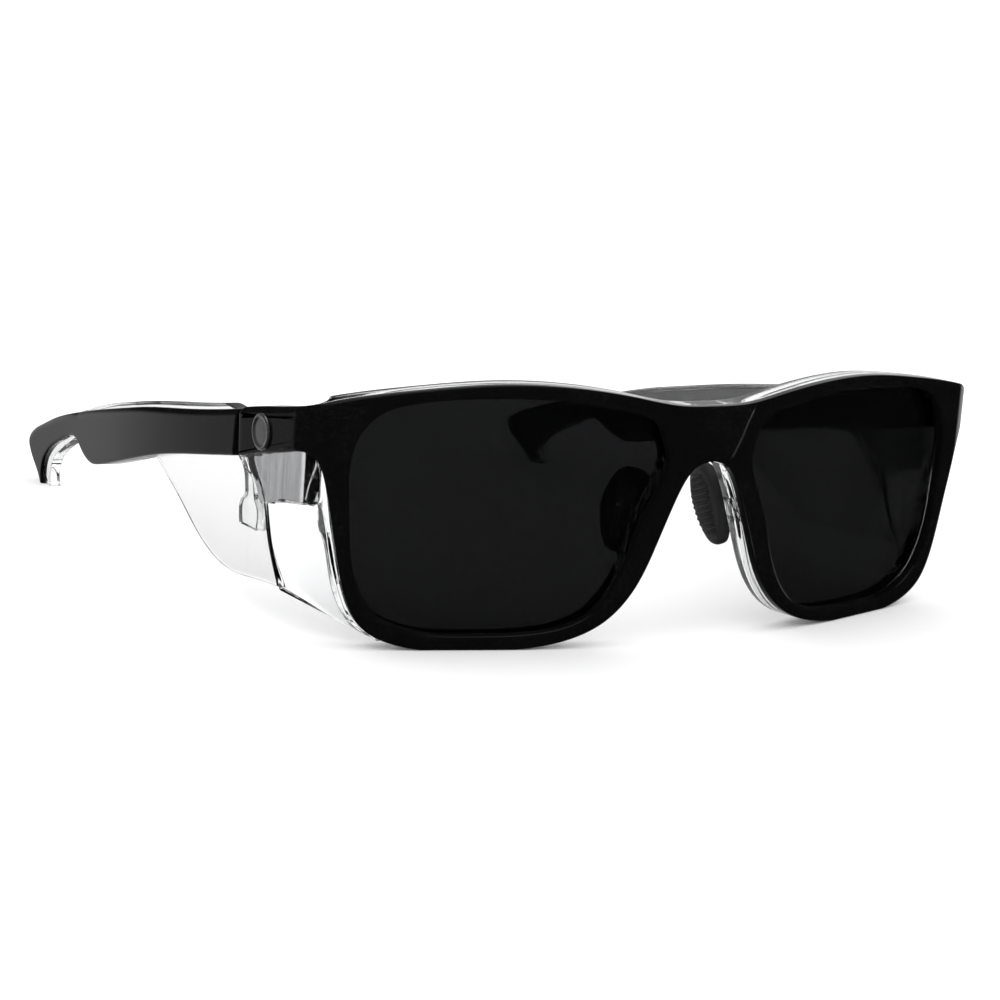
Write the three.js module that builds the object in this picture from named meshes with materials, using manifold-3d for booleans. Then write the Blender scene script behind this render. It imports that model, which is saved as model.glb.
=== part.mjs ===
// Two-tone safety glasses: a black outer frame bonded over a clear inner frame, tinted lenses,
// clear side wings, and folding temples that carry clear rear shields.
// Millimetres. +X is the wearer's left, +Y runs back to the ears, +Z is up.
import * as THREE from 'three';
import { mergeVertices } from 'three/addons/utils/BufferGeometryUtils.js';
import Module from 'manifold-3d';

const wasm = await Module();
wasm.setup();

// Driving dimensions
const HALF_WIDTH = 72.2;                // outer face of an endpiece, from the middle
const SAG_SQUARE = 0.00473;            // front curve: y = a x^2 - b x^4
const SAG_FOURTH = 3.69e-7;
const CORNER_RADIUS = 6.2;             // front to endpiece, seen from above
const SHELL_THICK = 2;                 // black outer layer
const LAYER_GAP = 0.3;                 // glue line between neighbours
const LINER_THICK = 3.7;                // clear inner layer at the rims
const ARM_LINER_THICK = 3.4;           // clear inner layer of endpieces and temples
const LENS_THICK = 2;
const REBATE_GROW = 1.3;               // rebate in the clear layer that holds the lens
const HINGE_Y = 41.5;                  // where temple and endpiece part
const HINGE_Z = 7.6;
const HINGE_X = 65.6;                  // hinge pin axis, from the middle
const TEMPLE_SLOPE = 10;               // degrees that the temple drops to the rear
const BASE_Z = -24.4;                  // flat that rims and temple tips rest on
const KNUCKLE_RADIUS = 1.9;
const KNUCKLE_HEIGHT = 2;
const KNUCKLE_GAP = 0.35;
const PIN_RADIUS = 0.75;
const FIT_GAP = 0.3;
const LEAF_THICK = 0.9;
const LEAF_HEIGHT = 5.4;
const LEAF_LENGTH = 10;
const RIVET_RADIUS = 0.7;
const KNUCKLE_PITCH = KNUCKLE_HEIGHT + KNUCKLE_GAP;
const LEAF_INWARD = KNUCKLE_RADIUS - LEAF_THICK / 2 - 0.6;   // leaf middle, inward from the pin
const RIVET_BACKS = [4.6, 9];          // rivets, from the hinge pin
const RIVET_HEAD_RADIUS = 1.3;
const RIVET_HEAD_THICK = 0.6;
const RIVET_LENGTH = 3.6;
const SCREW_HEAD_RADIUS = 1.45;
const SCREW_HEAD_THICK = 0.7;
const SHIELD_THICK = 1.2;
const SHIELD_INSET = 3.9;              // shield middle, inward from the temple's outer face
const SHIELD_PIN_RADIUS = 0.6;
const SHIELD_PIN_LENGTH = 3.8;
const WING_THICK = 1.5;
const PAD_DEPTH = 11.4;
const PAD_HEIGHT = 15.4;
const PAD_THICK = 2.8;
const PLAQUE_Y = 31.5;
const PLAQUE_Z = 10.1;
const PLAQUE_LENGTH = 6.4;
const PLAQUE_HEIGHT = 6.4;
const PLAQUE_THICK = 0.5;
const RIM_BACK = 19;                   // the rims end here at the corners
const TEMPLE_STEPS = 16;
const TAPER_START = 0.45;              // along a temple; its layers thin from here to the tip
const TIP_TAPER = 0.56;                // layer thickness left at the tip
const FRONT_STEPS = 14;                // facets from the bridge to a corner
const FAR = 60;                        // longer than any cut needs

const BLACK = { color: 0x060607, roughness: 0.12, metalness: 0 };
const CLEAR = { color: 0xe9ecee, roughness: 0.05, metalness: 0 };
const TINT = { color: 0x141416, roughness: 0.03, metalness: 0 };
const RUBBER = { color: 0x101010, roughness: 0.7, metalness: 0 };
const STEEL = { color: 0xb8babd, roughness: 0.3, metalness: 1 };

const v2 = (x, y) => new THREE.Vector2(x, y);
const v3 = (x, y, z) => new THREE.Vector3(x, y, z);
const toPoints = (pairs) => pairs.map(([x, y]) => v2(x, y));

// ---- solids ---------------------------------------------------------------------------------

function solid(geometry) {
  const bare = geometry.index ? geometry.toNonIndexed() : geometry.clone();
  bare.deleteAttribute('normal');
  bare.deleteAttribute('uv');
  const merged = mergeVertices(bare, 1e-5);
  return new wasm.Manifold(new wasm.Mesh({
    numProp: 3,
    vertProperties: new Float32Array(merged.attributes.position.array),
    triVerts: new Uint32Array(merged.index.array),
  }));
}

function geometryOf(manifold) {
  const mesh = manifold.getMesh();
  const geometry = new THREE.BufferGeometry();
  geometry.setAttribute('position', new THREE.BufferAttribute(mesh.vertProperties, 3));
  geometry.setIndex(new THREE.BufferAttribute(mesh.triVerts, 1));
  geometry.computeVertexNormals();
  return geometry;
}

// An outline extruded along one axis; its two coordinates are the other two axes in X, Y, Z order.
function prism(points, axis, low, high) {
  const geometry = new THREE.ExtrudeGeometry(new THREE.Shape(points), {
    depth: high - low, bevelEnabled: false, steps: 1,
  });
  geometry.translate(0, 0, low);
  if (axis === 'y') {
    geometry.applyMatrix4(new THREE.Matrix4().set(1, 0, 0, 0, 0, 0, -1, 0, 0, 1, 0, 0, 0, 0, 0, 1));
  }
  if (axis === 'x') {
    geometry.applyMatrix4(new THREE.Matrix4().set(0, 0, 1, 0, 1, 0, 0, 0, 0, 1, 0, 0, 0, 0, 0, 1));
  }
  return solid(geometry);
}
// Along Y the matrix above sends depth d to y = -d, so the limits swap sign.
const alongY = (points, low, high) => prism(points, 'y', -high, -low);
const alongX = (points, low, high) => prism(points, 'x', low, high);
const alongZ = (points, low, high) => prism(points, 'z', low, high);

function box(sizeX, sizeY, sizeZ, x, y, z) {
  return solid(new THREE.BoxGeometry(sizeX, sizeY, sizeZ).translate(x, y, z));
}

function rod(radius, length, from, direction, sides = 20) {
  const geometry = new THREE.CylinderGeometry(radius, radius, length, sides);
  const turn = new THREE.Quaternion().setFromUnitVectors(v3(0, 1, 0), direction);
  geometry.applyQuaternion(turn);
  const middle = from.clone().addScaledVector(direction, length / 2);
  return solid(geometry.translate(middle.x, middle.y, middle.z));
}

const union = (first, ...rest) => rest.reduce((sum, next) => sum.add(next), first);
const flipped = (points) => points.map((p) => v2(-p.x, p.y)).reverse();
const mirrored = (manifold) => manifold.mirror([1, 0, 0]);

// ---- curves ---------------------------------------------------------------------------------

// A smooth run through points, both ends included.
const smooth = (pairs, count) => new THREE.SplineCurve(toPoints(pairs)).getPoints(count);

// A smooth closed loop through points.
function loop(pairs, count) {
  const curve = new THREE.CatmullRomCurve3(pairs.map(([x, y]) => v3(x, y, 0)), true, 'centripetal');
  return curve.getPoints(count).slice(0, -1).map((p) => v2(p.x, p.y));
}

// Each point moved along the left-hand normal of its run, by a distance or a function of its index.
function offset(points, distance, closed = false) {
  const last = points.length - 1;
  const reach = typeof distance === 'function' ? distance : () => distance;
  return points.map((point, i) => {
    const before = points[i > 0 ? i - 1 : (closed ? last : 0)];
    const after = points[i < last ? i + 1 : (closed ? 0 : last)];
    const along = after.clone().sub(before).normalize();
    return v2(point.x - along.y * reach(i), point.y + along.x * reach(i));
  });
}

// The area between a run moved by two distances, as one outline.
const band = (run, near, far) => [...offset(run, near), ...offset(run, far).reverse()];

const sag = (x) => SAG_SQUARE * x ** 2 - SAG_FOURTH * x ** 4;
const sagSlope = (x) => 2 * SAG_SQUARE * x - 4 * SAG_FOURTH * x ** 3;

// Plan of the whole front from one hinge line round to the other, front face.
function frontPlan() {
  const centre = HALF_WIDTH - CORNER_RADIUS;
  const lean = Math.atan(sagSlope(centre + 1.4));
  const reach = centre + CORNER_RADIUS * Math.sin(lean);
  const centreY = sag(reach) + CORNER_RADIUS * Math.cos(lean);
  const half = [];
  for (let i = 0; i < FRONT_STEPS; i += 1) {
    const x = (reach * i) / FRONT_STEPS;
    half.push(v2(x, sag(x)));
  }
  for (let i = 0; i <= 6; i += 1) {
    const angle = lean - Math.PI / 2 + (i / 6) * (Math.PI / 2 - lean);
    half.push(v2(centre + CORNER_RADIUS * Math.cos(angle), centreY + CORNER_RADIUS * Math.sin(angle)));
  }
  half.push(v2(HALF_WIDTH, HINGE_Y - FIT_GAP));
  return [...flipped(half.slice(1)), ...half];
}

// Plan of a left temple's outer face, hinge line to tip.
const templePlan = () => smooth(
  [[72.2, HINGE_Y + FIT_GAP], [71.8, 60], [70.9, 80], [69.2, 100], [66.8, 121], [64.8, 139],
    [62.2, 166]], TEMPLE_STEPS);

// ---- outlines -------------------------------------------------------------------------------

const RIM_TOP = [[0, 18.1], [7.5, 18.3], [15.7, 19.7], [27.5, 21.3], [39.4, 21.6], [53.3, 20.3],
  [64.1, 18.8], [74, 17.3]];
const RIM_SIDE = [[69.9, 8.8], [68.6, 3.5], [66.7, -5], [64.8, -13.6], [61.5, -20.2], [54.7, -23.7],
  [42.3, -24.7], [29.4, -23.7], [18.8, -19.5], [13.4, -13.3], [10.3, -6.5], [7.7, 0.1], [5.6, 4.6],
  [3.2, 7.4], [0, 8.3]];

function frontOutline() {
  const half = [...smooth(RIM_TOP, 16), v2(74, 9.3), v2(71.2, 9.2), ...smooth(RIM_SIDE, 40)];
  return [...half.slice(0, -1), v2(0, 8.3), ...half.slice(1, -1).map((p) => v2(-p.x, p.y)).reverse()];
}

const lensOpening = () => loop(
  [[9.2, 11], [12.2, 15.4], [18.4, 17.4], [27.8, 18.8], [42.8, 19.1], [54.2, 18], [61.2, 15.2],
    [64.1, 10.4], [64.4, 0.9], [63, -10.8], [58.9, -18], [51.5, -21.4], [42.3, -21.9], [31, -21.4],
    [22, -18.4], [16.6, -11.6], [12.9, -1.4]], 48);

// Side view outlines, as (y, z).
const ENDPIECE_TOP = [[14, 17.7], [18.9, 16.8], [29, 14.9], [36.4, 13.6], [HINGE_Y - FIT_GAP, 12.6]];
const ENDPIECE_BLACK = [...ENDPIECE_TOP, [40.6, 4.1], [37.6, 4.9], [31, 6.5], [22.6, 8.3], [17.4, 9.1],
  [14, 9]];
const ENDPIECE_CLEAR = [...ENDPIECE_TOP, [40.6, 3.6], [38.6, 1.2], [36.6, -0.9], [35.3, -2.9],
  [31.2, -2.1], [25.6, -1], [16.4, 0.7], [12.8, 1.2]];
const TEMPLE_TOP = [[HINGE_Y + FIT_GAP, 12.2], [50, 10.6], [66.8, 7.6], [84.9, 4.6], [101.5, 1.3],
  [122.2, -3.1], [133.1, -5.7], [146, -9.2], [155, -12.3], [160.6, -14.7], [162.7, -16.9],
  [161.2, -18.8], [157.4, -21.1], [153.6, -23.2], [152.2, BASE_Z - 0.4]];
const HOOK_BLACK = [[151.6, -23.6], [151.8, -21.6], [151, -19.4], [148.8, -17.2], [144.9, -14.8],
  [138.9, -12.4], [134.2, -10.7], [130.6, -9.9]];
const HOOK_CLEAR = [[148.6, BASE_Z - 0.4], [149.3, -22.4], [149.1, -20.2], [147.4, -18], [143.6, -15.6],
  [138.4, -13.2], [134, -11.2], [130.6, -9.9]];
const TEMPLE_UNDER = [[127.3, -10.1], [124.2, -11.3], [120.4, -12.5], [116.7, -12.8], [111.8, -12],
  [103.1, -9.8], [90.9, -6.5], [79, -3.4], [56.3, 1.2], [HINGE_Y + 0.9, 3.8]];

const templeOutline = (hook) => [...smooth(TEMPLE_TOP, 36), ...smooth([...hook, ...TEMPLE_UNDER], 36)];

// Line, as (y, z), that parts the fixed wing from the swinging shield; moved back for the shield.
const PARTING = [[36.6, -0.9], [35.3, -2.9], [34, -6.4], [32.7, -10.2], [30.5, -13.9], [28.2, -16.9]];
const SHIELD_EDGE = [[88.5, -3.5], [85.3, -7], [76.9, -9.6], [66.5, -14.4], [56.9, -17.6],
  [50.1, -18.4], [43.8, -17.9], [37.7, -17.2], [29, -16.9]];
const SHIELD_TONGUE = [[38.2, 0.4], [42.4, 1.4], [45.4, 2.2], [45.4, 6.4], [56.3, 4.6], [79, 0],
  [88.6, -2.6]];
const TONGUE_SLOT = [[45, -2], [45, 7], [56.3, 5.2], [79, 0.6], [89.4, -1.8], [90.6, -9], [70, -9]];

function shieldOutline() {
  const front = smooth(PARTING, 12).map((p) => v2(p.x + 0.8, p.y)).reverse();
  return [...front, ...toPoints(SHIELD_TONGUE), ...smooth(SHIELD_EDGE, 20)];
}

// ---- front ----------------------------------------------------------------------------------

const frontShape = (side) => union(
  alongY(frontOutline(), -5, 17),
  alongX(toPoints(side), HALF_WIDTH - 8, HALF_WIDTH + 5),
  alongX(toPoints(side), -HALF_WIDTH - 5, -HALF_WIDTH + 8));

const aboveBase = (manifold) => manifold.intersect(box(200, 500, 100, 0, 60, BASE_Z + 50));

const openings = (grow, low, high) => {
  const left = alongY(offset(lensOpening(), grow, true), low, high);
  return left.add(mirrored(left));
};

function frontShell() {
  const layer = alongZ(band(frontPlan(), 0, SHELL_THICK), -FAR, FAR);
  return aboveBase(layer.intersect(frontShape(ENDPIECE_BLACK)).subtract(openings(0, -5, FAR)));
}

function bentPlate(outline, near, far) {
  return alongZ(band(frontPlan(), near, far), -FAR, FAR).intersect(alongY(outline, -5, 30));
}

// The rims and bridge between two depths behind the front face.
const rimBand = (near, far, back) => alongZ(band(frontPlan(), near, far), -FAR, FAR)
  .intersect(alongY(frontOutline(), -5, back));

function frontLiner() {
  const near = SHELL_THICK + LAYER_GAP;
  const rims = rimBand(near, near + LINER_THICK, RIM_BACK);
  const arms = alongZ(band(frontPlan(), near, near + ARM_LINER_THICK), -FAR, FAR)
    .intersect(union(alongX(toPoints(ENDPIECE_CLEAR), HALF_WIDTH - 8, HALF_WIDTH + 5),
      alongX(toPoints(ENDPIECE_CLEAR), -HALF_WIDTH - 5, -HALF_WIDTH + 8)));
  const rebateLoop = offset(lensOpening(), REBATE_GROW, true);
  const rebate = bentPlate(rebateLoop, near - 1, near + LENS_THICK + 2 * LAYER_GAP);
  let liner = union(rims, arms).subtract(openings(0, -5, FAR));
  liner = liner.subtract(rebate).subtract(mirrored(rebate));
  for (const side of [1, -1]) {
    liner = liner.subtract(hingeClearance(side)).subtract(rivetHoles(side, -1));
  }
  return aboveBase(liner);
}

function lens() {
  const near = SHELL_THICK + LAYER_GAP + 0.1;
  return bentPlate(offset(lensOpening(), REBATE_GROW - FIT_GAP, true), near, near + LENS_THICK);
}

// ---- side wings -----------------------------------------------------------------------------

// A closed sheet between two grids of points, grid[i][j].
function sheet(outer, inner) {
  const rows = outer.length;
  const columns = outer[0].length;
  const positions = [];
  const quad = (a, b, c, d) => [a, b, c, a, c, d].forEach((p) => positions.push(p.x, p.y, p.z));
  for (let i = 0; i < rows - 1; i += 1) {
    for (let j = 0; j < columns - 1; j += 1) {
      quad(outer[i][j], outer[i + 1][j], outer[i + 1][j + 1], outer[i][j + 1]);
      quad(inner[i][j], inner[i][j + 1], inner[i + 1][j + 1], inner[i + 1][j]);
    }
    quad(outer[i][0], inner[i][0], inner[i + 1][0], outer[i + 1][0]);
    quad(outer[i][columns - 1], outer[i + 1][columns - 1], inner[i + 1][columns - 1], inner[i][columns - 1]);
  }
  for (let j = 0; j < columns - 1; j += 1) {
    quad(outer[0][j], outer[0][j + 1], inner[0][j + 1], inner[0][j]);
    quad(outer[rows - 1][j], inner[rows - 1][j], inner[rows - 1][j + 1], outer[rows - 1][j + 1]);
  }
  const geometry = new THREE.BufferGeometry();
  geometry.setAttribute('position', new THREE.Float32BufferAttribute(positions, 3));
  return solid(geometry);
}

// The wing joins the back of the rim to the parting line; u runs down it, v runs back.
const WING_FRONT = [[68.9, 18.8, 1], [67.4, 18.6, -4], [66, 18.2, -10], [63.9, 17.8, -16],
  [61, 17.2, -20.4], [57.6, 16.4, -23.2]];
const WING_REAR = [[69.2, 34.9, -3], [69.2, 33.9, -6.6], [69.2, 32.6, -10.4], [69.2, 30.6, -13.9],
  [69.2, 28.2, -16.9]];

function wingGrid(inset) {
  const curve = (list) => new THREE.CatmullRomCurve3(list.map(([x, y, z]) => v3(x, y, z)));
  const front = curve(WING_FRONT).getPoints(12);
  const rear = curve(WING_REAR).getPoints(12);
  return front.map((start, i) => [0, 1, 2, 3, 4, 5, 6].map((step) => {
    const point = start.clone().lerp(rear[i], step / 6);
    return v3(point.x - inset, point.y, point.z);
  }));
}

// Space that the clear inner frame takes next to the wing.
function linerSpace() {
  const rims = rimBand(0, SHELL_THICK + LAYER_GAP + LINER_THICK + FIT_GAP, RIM_BACK + FIT_GAP);
  const boss = alongX(toPoints([[5, 1.6], [12.8, 0.9], [16.4, 0.4], [25.6, -1.3], [31.2, -2.4],
    [35.2, -3.2], [46, -3.2], [46, 30], [5, 30]]), 50, 80);
  return rims.add(boss);
}

function sideWing() {
  return sheet(wingGrid(0), wingGrid(WING_THICK)).subtract(linerSpace());
}

// ---- hinges ---------------------------------------------------------------------------------

const slope = THREE.MathUtils.degToRad(TEMPLE_SLOPE);
const hingeAxis = v3(0, Math.sin(slope), Math.cos(slope));
const hingePoint = (side) => v3(side * HINGE_X, HINGE_Y, HINGE_Z);
// A point on or off the hinge axis: out from the pin towards the middle, back, and up the axis.
function atHinge(side, inward, back, up) {
  const backward = v3(0, Math.cos(slope), -Math.sin(slope));
  return hingePoint(side).add(v3(-side * inward, 0, 0)).addScaledVector(backward, back)
    .addScaledVector(hingeAxis, up);
}

function hingeClearance(side) {
  return rod(KNUCKLE_RADIUS + 0.5, 11, atHinge(side, 0, 0, -5.5), hingeAxis, 24);
}

function leafBox(side, back, length, height, up) {
  const geometry = new THREE.BoxGeometry(LEAF_THICK, length, height);
  geometry.rotateX(-slope);
  const middle = atHinge(side, LEAF_INWARD, back, up);
  return solid(geometry.translate(middle.x, middle.y, middle.z));
}

function knuckle(side, level) {
  const bottom = atHinge(side, 0, 0, level * KNUCKLE_PITCH - KNUCKLE_HEIGHT / 2);
  return rod(KNUCKLE_RADIUS, KNUCKLE_HEIGHT, bottom, hingeAxis, 20);
}

// back is -1 for the leaf on the front, +1 for the leaf on the temple.
function hingeLeaf(side, back) {
  const start = KNUCKLE_RADIUS + 0.4;
  const plate = leafBox(side, back * (start + LEAF_LENGTH / 2), LEAF_LENGTH, LEAF_HEIGHT, 0);
  const levels = back < 0 ? [-1, 1] : [0];
  let leaf = plate;
  for (const level of levels) {
    const web = leafBox(side, back * (start / 2 + 0.3), start + 1.2, KNUCKLE_HEIGHT, level * KNUCKLE_PITCH);
    leaf = union(leaf, knuckle(side, level), web);
  }
  const bore = rod(PIN_RADIUS + 0.05, 12, atHinge(side, 0, 0, -6), hingeAxis, 24);
  return leaf.subtract(bore).subtract(rivetHoles(side, back));
}

function rivet(side, back, distance, radius, headRadius, length) {
  const out = v3(side, 0, 0);
  const start = atHinge(side, LEAF_INWARD + LEAF_THICK / 2 + FIT_GAP, back * distance, 0);
  const headStart = start.clone().addScaledVector(out, -RIVET_HEAD_THICK);
  const head = rod(headRadius, RIVET_HEAD_THICK, headStart, out, 16);
  return rod(radius, length, start.clone().addScaledVector(out, -FIT_GAP), out, 16).add(head);
}

const rivetHoles = (side, back) => union(...RIVET_BACKS.map(
  (distance) => rivet(side, back, distance, RIVET_RADIUS + FIT_GAP, RIVET_RADIUS + 0.2, RIVET_LENGTH + 1)));

function hingeScrew(side) {
  const top = 1.5 * KNUCKLE_PITCH + 0.15;
  const shank = rod(PIN_RADIUS, 2 * top + 0.2, atHinge(side, 0, 0, -top - 0.1), hingeAxis, 24);
  const head = rod(SCREW_HEAD_RADIUS, SCREW_HEAD_THICK, atHinge(side, 0, 0, top + 0.05), hingeAxis, 20);
  const slot = new THREE.BoxGeometry(4, 0.5, 0.7).rotateX(-slope);
  const place = atHinge(side, 0, 0, top + 0.85);
  return shank.add(head).subtract(solid(slot.translate(place.x, place.y, place.z)));
}

// ---- temples --------------------------------------------------------------------------------

// Depths below the outer face shrink towards the tip.
function templeBand(near, far) {
  const plan = templePlan();
  const depth = (distance) => (i) => {
    const along = Math.max(0, i / TEMPLE_STEPS - TAPER_START) / (1 - TAPER_START);
    return distance * (1 - (1 - TIP_TAPER) * along);
  };
  return alongZ(band(plan, depth(near), depth(far)), -FAR, FAR);
}

const templeLayer = (near, far, hook) => aboveBase(
  templeBand(near, far).intersect(alongX(templeOutline(hook), 40, 80)));

const templeShell = () => templeLayer(0, SHELL_THICK, HOOK_BLACK);

function templeLiner() {
  const near = SHELL_THICK + LAYER_GAP;
  const half = SHIELD_THICK / 2 + FIT_GAP;
  const slot = templeBand(SHIELD_INSET - half, SHIELD_INSET + half)
    .intersect(alongX(toPoints(TONGUE_SLOT), 40, 80));
  return templeLayer(near, near + ARM_LINER_THICK, HOOK_CLEAR).subtract(slot).subtract(hingeClearance(1))
    .subtract(rivetHoles(1, 1)).subtract(shieldPinHoles());
}

const SHIELD_PINS = [[68.1, 52, 4], [67.3, 74, -0.4]];

const shieldPin = ([x, y, z], radius = SHIELD_PIN_RADIUS) => rod(
  radius, SHIELD_PIN_LENGTH, v3(x - 2.3, y, z), v3(1, 0, 0), 12);
const shieldPinHoles = () => union(...SHIELD_PINS.map(
  (place) => shieldPin(place, SHIELD_PIN_RADIUS + FIT_GAP)));

function rearShield() {
  const plate = templeBand(SHIELD_INSET - SHIELD_THICK / 2, SHIELD_INSET + SHIELD_THICK / 2);
  const outer = HALF_WIDTH - SHIELD_INSET + SHIELD_THICK / 2;
  const inner = outer - SHIELD_THICK;
  const start = HINGE_Y + 1;
  const ahead = alongZ(toPoints([[inner, 20], [outer, 20], [outer, start], [inner, start]]), -FAR, FAR);
  return union(plate, ahead).intersect(alongX(shieldOutline(), 40, 80)).subtract(shieldPinHoles())
    .subtract(shieldClip(FIT_GAP));
}

// Moulded clip that ties the shield's front edge up to the temple.
function shieldClip(grow = 0) {
  const wide = 3.2 + 2 * grow;
  const x = HALF_WIDTH - SHIELD_INSET;
  const post = smooth([[43.2, 2.6], [40.6, 0.4], [39.6, -3.8]], 6);
  const arm = alongX(band(post, -1.6 - grow, 2.2 + grow), x - wide / 2, x + wide / 2);
  return arm.add(box(wide, 7 + 2 * grow, 5 + 2 * grow, x, 40, -6.2));
}

// ---- nose pads ------------------------------------------------------------------------------

// A left pad's own axes: from its front edge to its rear one, up, and away from the nose.
const PAD_CENTRE = v3(9.2, 12.6, -2.4);
const padBack = v3(0.36, 0.93, -0.08).normalize();
const padUp = v3(-0.29, -0.19, 0.94).projectOnPlane(padBack).normalize();
const padOut = v3(0, 0, 0).crossVectors(padBack, padUp);

// An egg-shaped outline: deep at the top, narrower below.
function padOutline(depth, height) {
  const points = [];
  for (let i = 0; i < 28; i += 1) {
    const angle = (i / 28) * 2 * Math.PI;
    const up = Math.sin(angle);
    const narrow = 1 - 0.2 * Math.max(0, -up);
    points.push(v2(Math.cos(angle) * Math.abs(Math.cos(angle)) ** -0.25 * (depth / 2) * narrow || 0,
      up * height / 2));
  }
  return points;
}

// A bevelled slab of that outline, between two distances from the pad's middle plane.
function padSlab(depth, height, low, high, bevel) {
  const geometry = new THREE.ExtrudeGeometry(new THREE.Shape(padOutline(depth, height)), {
    depth: high - low - 2 * bevel, bevelEnabled: bevel > 0, bevelSize: bevel, bevelThickness: bevel,
    bevelOffset: -bevel, bevelSegments: 2, steps: 1,
  });
  geometry.translate(0, 0, low + bevel);
  geometry.applyMatrix4(new THREE.Matrix4().makeBasis(padBack, padUp, padOut).setPosition(PAD_CENTRE));
  return solid(geometry);
}

const nosePad = () => padSlab(PAD_DEPTH, PAD_HEIGHT, -PAD_THICK / 2, PAD_THICK / 2, 0.9);

// Clear moulded carrier: a plate behind the pad on an arm from the back of the rim.
function padCarrier() {
  const plate = padSlab(PAD_DEPTH - 4, PAD_HEIGHT - 4, PAD_THICK / 2 + FIT_GAP, PAD_THICK / 2 + 1.4, 0);
  const arm = alongZ(toPoints([[9.8, 6.2], [12.8, 6.2], [13.2, 12.6], [11.2, 12.6]]), -4.6, 0.8);
  const space = padSlab(PAD_DEPTH + 1, PAD_HEIGHT, -PAD_THICK, PAD_THICK / 2 + FIT_GAP - 0.02, 0);
  const rim = rimBand(0, SHELL_THICK + LAYER_GAP + LINER_THICK + FIT_GAP, RIM_BACK);
  return union(plate, arm).subtract(space).subtract(rim);
}

// ---- trim -----------------------------------------------------------------------------------

// A plain oval metal plaque on the endpiece.
function plaque() {
  const geometry = new THREE.CylinderGeometry(1, 0.86, PLAQUE_THICK, 24).rotateZ(-Math.PI / 2);
  geometry.scale(1, PLAQUE_LENGTH / 2, PLAQUE_HEIGHT / 2);
  return solid(geometry.translate(HALF_WIDTH + PLAQUE_THICK / 2 + 0.02, PLAQUE_Y, PLAQUE_Z));
}

// ---- assembly -------------------------------------------------------------------------------

const glasses = new THREE.Group();

function add(name, manifold, finish) {
  const mesh = new THREE.Mesh(geometryOf(manifold), new THREE.MeshStandardMaterial(finish));
  mesh.name = name;
  glasses.add(mesh);
}

function addPair(name, build, finish) {
  const left = build(1);
  add(`${name}_left`, left, finish);
  add(`${name}_right`, mirrored(left), finish);
}

add('front_shell', frontShell(), BLACK);
add('front_liner', frontLiner(), CLEAR);
addPair('lens', lens, TINT);
addPair('side_wing', sideWing, CLEAR);
addPair('hinge_front_leaf', (side) => hingeLeaf(side, -1), STEEL);
addPair('hinge_temple_leaf', (side) => hingeLeaf(side, 1), STEEL);
addPair('hinge_screw', hingeScrew, STEEL);
addPair('temple_shell', templeShell, BLACK);
addPair('temple_liner', templeLiner, CLEAR);
addPair('rear_shield', rearShield, CLEAR);
addPair('shield_clip', () => shieldClip(), CLEAR);
addPair('nose_pad', nosePad, RUBBER);
addPair('pad_carrier', padCarrier, CLEAR);
addPair('plaque', plaque, STEEL);
for (const [index, distance] of RIVET_BACKS.entries()) {
  const turned = (back) => (side) => rivet(
    side, back, distance, RIVET_RADIUS, RIVET_HEAD_RADIUS, RIVET_LENGTH);
  addPair(`front_rivet_${index + 1}`, turned(-1), STEEL);
  addPair(`temple_rivet_${index + 1}`, turned(1), STEEL);
}
for (const [index, place] of SHIELD_PINS.entries()) {
  addPair(`shield_pin_${index + 1}`, () => shieldPin(place), CLEAR);
}

const bounds = new THREE.Box3().setFromObject(glasses);
const middle = bounds.getCenter(v3(0, 0, 0));
glasses.position.set(-middle.x, -middle.y, -bounds.min.z);

const part = new THREE.Group();
part.add(glasses);
export default part;
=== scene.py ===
"""Two-tone safety glasses: a black outer frame bonded over a clear inner frame, tinted lenses,
clear side wings, and folding temples that carry clear rear shields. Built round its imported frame."""
import math

import bmesh
import bpy
import numpy as np
from mathutils import Matrix, Vector


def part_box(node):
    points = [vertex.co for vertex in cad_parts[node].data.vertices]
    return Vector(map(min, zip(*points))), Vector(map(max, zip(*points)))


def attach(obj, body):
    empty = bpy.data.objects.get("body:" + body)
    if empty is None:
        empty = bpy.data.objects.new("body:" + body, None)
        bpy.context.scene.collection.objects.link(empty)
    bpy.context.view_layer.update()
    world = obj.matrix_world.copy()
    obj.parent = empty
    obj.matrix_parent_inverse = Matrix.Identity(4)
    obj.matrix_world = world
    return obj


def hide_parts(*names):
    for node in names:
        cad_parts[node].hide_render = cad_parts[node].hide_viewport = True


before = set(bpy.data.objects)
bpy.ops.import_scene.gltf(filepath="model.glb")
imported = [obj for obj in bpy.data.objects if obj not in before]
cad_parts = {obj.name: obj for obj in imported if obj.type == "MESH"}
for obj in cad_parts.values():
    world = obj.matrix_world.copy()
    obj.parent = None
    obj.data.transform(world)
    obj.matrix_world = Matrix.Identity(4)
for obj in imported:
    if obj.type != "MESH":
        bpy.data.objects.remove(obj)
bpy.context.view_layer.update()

# ---- Camera ------------------------------------------------------------------------------------
# A product view from the wearer's right, a little above the frame, with a slight roll.

CAMERA_PLACE = (-0.2645, -0.43075, 0.1140)
CAMERA_TURN = math.radians(-32.31)
CAMERA_RISE = math.radians(11.75)
CAMERA_ROLL = math.radians(4.12)
CAMERA_LENS = 91.62


def camera_matrix(place, turn, rise, roll):
    """Columns are the camera's right, up and back: back from two angles, the others turned by roll."""
    back = Vector((math.sin(turn) * math.cos(rise), -math.cos(turn) * math.cos(rise), math.sin(rise)))
    level = Vector((math.cos(turn), math.sin(turn), 0))
    above = back.cross(level)
    right = level * math.cos(roll) + above * math.sin(roll)
    up = above * math.cos(roll) - level * math.sin(roll)
    matrix = Matrix((right, up, back)).transposed().to_4x4()
    matrix.translation = place
    return matrix


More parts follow.
